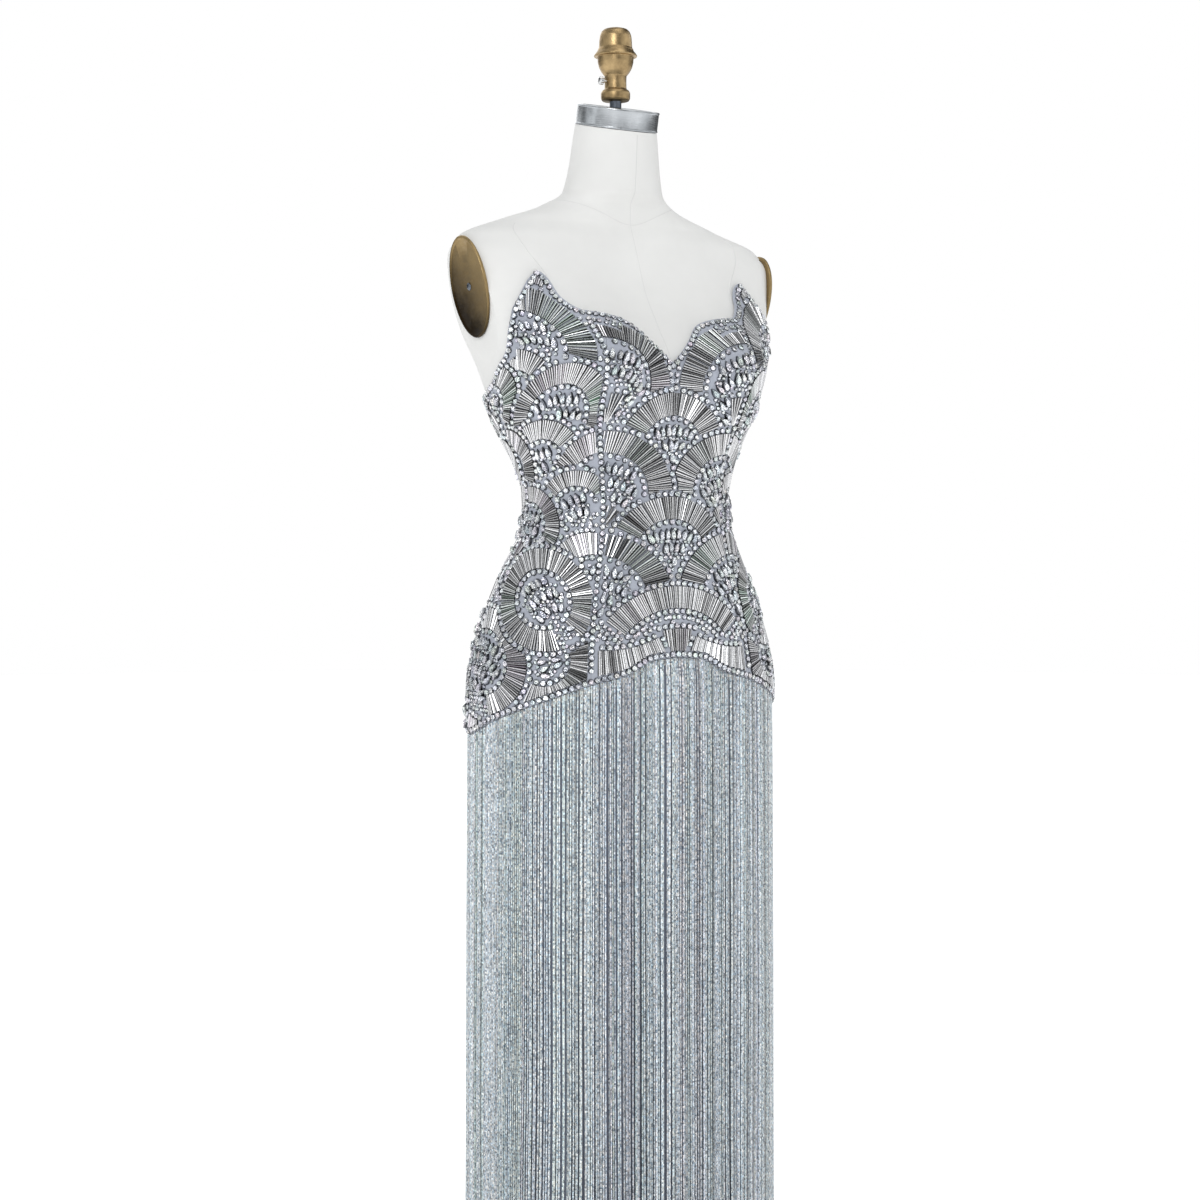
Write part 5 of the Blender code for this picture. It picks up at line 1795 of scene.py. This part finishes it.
    def stand(self) -> None:
        """Round base with a raised hub, and the pole."""
        stops = [(0.0, 0.0), (0.182, 0.0), (0.185, 0.003), (0.185, 0.009), (0.179, 0.013),
                 (0.110, 0.021), (0.045, 0.027), (0.026, 0.033), (0.021, 0.042), (0.021, 0.050),
                 (0.019, 0.052), (0.0, 0.052)]
        points, faces = turned_solid(rounded_profile(stops, 4 * MM, 5), 128)
        add_piece("base_iron", points, faces, self.finishes.enamel, "painted_iron", "stand_base",
                  sharp=35.0)
        profile = [(0.0, 0.0523), (0.0120, 0.0523), (0.0125, 0.0528), (0.0125, 0.120),
                   (0.0128, 0.121), (0.0128, 0.126), (0.0125, 0.127), (0.0125, 0.7992),
                   (0.0120, 0.7997), (0.0, 0.7997)]
        points, faces = turned_solid(np.array(profile), 48)
        add_piece("pole_iron", points, faces, self.finishes.enamel, "painted_iron", "stand_pole",
                  sharp=35.0)

    def build(self) -> None:
        """Every piece of the form."""
        self.canvas()
        self.seams()
        self.cap()
        self.knob()
        self.thumb_screw()
        self.arm_plates()
        self.stand()


@dataclass
class BackZip:
    """Tape and teeth of the centre back zip. The slider and its tab keep their solids."""

    surface: BodySurface
    finishes: Finishes
    width: float = 6.0 * MM
    wall: float = 0.9 * MM
    low: float = 0.9503
    teeth_top: float = 1.176
    tooth_out: float = 1.1 * MM
    tooth_pitch: float = 2.2 * MM
    tooth_ends: tuple[float, float] = (2.2, -0.7)
    tooth_radii: tuple[float, float] = (0.55, 0.42)

    def build(self) -> None:
        """Tape as a thin wall, teeth as small bars of six sides from either side in turn."""
        top = float(self.surface.neckline.height(np.array([CENTRE_BACK]))[0])
        u = np.linspace(-0.5, 0.5, 7)[:, None]
        height = np.linspace(self.low, top, 60)[None] + 0 * u
        centre = self.surface.across_at(np.full(height.shape, CENTRE_BACK), height)
        inside = Cloths.bodice_inside(height)
        outer = self.surface.place(centre + self.width * u, height, inside + self.wall)
        inner = self.surface.place(centre + self.width * u, height, inside)
        points, faces = closed_wall(outer, inner)
        add_piece("zip_tape", points, faces, self.finishes.tape, "zip_tape", "zip_chain",
                  sharp=50.0)
        stops = np.arange(self.low + 2 * MM, self.teeth_top, self.tooth_pitch / 2)
        side = np.where(np.arange(len(stops)) % 2, 1.0, -1.0)
        centre = self.surface.across_at(np.full(len(stops), CENTRE_BACK), stops)
        out = Cloths.bodice_inside(stops) + self.tooth_out
        ends = [self.surface.place(centre + side * reach * MM, stops, out)
                for reach in self.tooth_ends]
        paths = np.stack(ends, 1)
        normal = self.surface.normal(np.full(len(stops), CENTRE_BACK), stops)
        radii = np.tile(np.array(self.tooth_radii) * MM, (len(stops), 1))
        points, faces = tubes(paths, np.repeat(normal[:, None], 2, axis=1), radii, 6)
        add_piece("zip_teeth", points, faces, self.finishes.nickel, "zip_metal", sharp=35.0)

    def dress_solids(self) -> None:
        """Gives the slider and the pull tab their metal."""
        for name in ("zip_slider", "zip_pull_tab"):
            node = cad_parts[name]
            node.data.materials.clear()
            node.data.materials.append(self.finishes.nickel)


@dataclass(frozen=True)
class Lamp:
    """A square soft light that faces a point."""

    name: str
    place: tuple[float, float, float]
    size: float
    power: float
    aim: tuple[float, float, float] = (0.0, 0.0, 1.05)

    def build(self) -> None:
        """Adds the light."""
        data = bpy.data.lights.new(self.name, "AREA")
        data.size = self.size
        data.energy = self.power
        thing = bpy.data.objects.new(self.name, data)
        thing.location = self.place
        aim = Vector(self.aim) - Vector(self.place)
        thing.rotation_euler = aim.to_track_quat("-Z", "Y").to_euler()
        bpy.context.scene.collection.objects.link(thing)


@dataclass
class Studio:
    """Pale floor, soft light and the camera at the photograph's angle."""

    camera_place: tuple[float, float, float] = (-1.3537, -2.2199, 1.063)
    camera_azimuth: float = 31.0
    camera_pitch: float = 1.903
    lens: float = 68.64
    sensor: float = 36.0
    soft: float = 0.62
    mirror: float = 1.0

    def floor(self) -> None:
        """A wide pale floor, a disc. Away from the piece it glows to the white of the backdrop."""
        turn = 2 * np.pi * np.arange(96) / 96
        radius = np.concatenate((np.linspace(0.02, 4.0, 30), np.linspace(4.4, 14.0, 20)))[:, None]
        level = 0 * radius * turn - 0.3 * MM
        rings = np.stack((radius * np.cos(turn), radius * np.sin(turn), level), -1)
        points = rings.reshape(-1, 3)
        nodes = Nodes("floor_pale", (0.90, 0.90, 0.90), 0.9, Emission_Color=(1.0, 1.0, 1.0, 1.0))
        where = nodes.spot()
        nodes.drive("Base Color", nodes.ramp(nodes.noise(where, 3.0), (0.0, (0.89, 0.89, 0.89)),
                                             (1.0, (0.91, 0.91, 0.91))))
        away = nodes.add("VectorMath", {0: where}, operation="LENGTH").outputs["Value"]
        nodes.drive("Emission Strength", nodes.grey(away, 0.0, 0.62, 0.3, 1.3))
        faces = [ring_faces(len(radius), 96)[:, ::-1], np.arange(96)[None]]
        piece = build_mesh("floor", points, faces, [nodes.material])

    def world(self) -> None:
        """White to the camera, soft light all round, and uneven bright and dark for reflections."""
        world = bpy.data.worlds.new("studio")
        world.use_nodes = True
        bpy.context.scene.world = world
        tree = world.node_tree
        tree.nodes.clear()

        def add(kind: str, **settings: float) -> bpy.types.Node:
            """Adds a node and sets its sockets by name."""
            node = tree.nodes.new("ShaderNode" + kind)
            for socket, value in settings.items():
                node.inputs[socket.replace("_", " ")].default_value = value
            return node

        out = add("OutputWorld")
        white = add("Background", Color=(1.0, 1.0, 1.0, 1.0))
        soft = add("Background", Color=(0.97, 0.985, 1.0, 1.0), Strength=self.soft)
        mirror = add("Background", Strength=self.mirror)
        where = add("TexCoord")
        clutter = add("TexNoise", Scale=2.1, Detail=2.0, Roughness=0.45)
        ramp = add("ValToRGB")
        stops = ((0.0, 0.02), (0.45, 0.05), (0.50, 0.34), (0.55, 0.88), (0.62, 1.60), (1.0, 1.8))
        while len(ramp.color_ramp.elements) < len(stops):
            ramp.color_ramp.elements.new(1.0)
        for element, (place, tone) in zip(ramp.color_ramp.elements, stops):
            element.position = place
            element.color = (tone * 0.97, tone * 0.99, tone, 1.0)
        path = add("LightPath")
        first, second = add("MixShader"), add("MixShader")
        links = ((where.outputs["Generated"], clutter.inputs["Vector"]),
                 (clutter.outputs["Fac"], ramp.inputs[0]),
                 (ramp.outputs["Color"], mirror.inputs["Color"]),
                 (path.outputs["Is Glossy Ray"], first.inputs[0]),
                 (soft.outputs[0], first.inputs[1]), (mirror.outputs[0], first.inputs[2]),
                 (path.outputs["Is Camera Ray"], second.inputs[0]),
                 (first.outputs[0], second.inputs[1]), (white.outputs[0], second.inputs[2]),
                 (second.outputs[0], out.inputs["Surface"]))
        for source, target in links:
            tree.links.new(source, target)

    def camera(self) -> None:
        """The camera, level but for a slight downward pitch."""
        data = bpy.data.cameras.new("camera")
        data.lens = self.lens
        data.sensor_width = self.sensor
        data.clip_end = 60.0
        thing = bpy.data.objects.new("camera", data)
        turn, pitch = math.radians(self.camera_azimuth), math.radians(self.camera_pitch)
        ahead = Vector((math.sin(turn) * math.cos(pitch), math.cos(turn) * math.cos(pitch),
                        -math.sin(pitch)))
        thing.location = self.camera_place
        thing.rotation_euler = ahead.to_track_quat("-Z", "Y").to_euler()
        bpy.context.scene.collection.objects.link(thing)
        bpy.context.scene.camera = thing

    def build(self) -> None:
        """Everything round the object."""
        bpy.context.scene.view_settings.view_transform = "Standard"
        self.floor()
        self.world()
        self.camera()
        for lamp in (Lamp("key", (-2.2, -2.2, 2.6), 1.2, 26.0),
                     Lamp("fill", (1.6, -2.6, 1.3), 1.4, 2.0),
                     Lamp("high", (0.2, -0.6, 3.2), 1.2, 6.0),
                     Lamp("back", (0.6, 2.6, 2.0), 1.6, 12.0)):
            lamp.build()


def main() -> None:
    """Builds the form, the gown, the zip and the studio in turn."""
    logging.basicConfig(level=logging.INFO, format="%(name)s: %(message)s")
    surface = BodySurface()
    finishes = Finishes()
    Studio().build()
    DressForm(surface, finishes).build()
    Bodice(surface, finishes).build()
    Fringe(surface, finishes).build()
    Skirt(surface, finishes).build()
    back_zip = BackZip(surface, finishes)
    back_zip.build()
    back_zip.dress_solids()


if __name__ == "__main__":
    main()
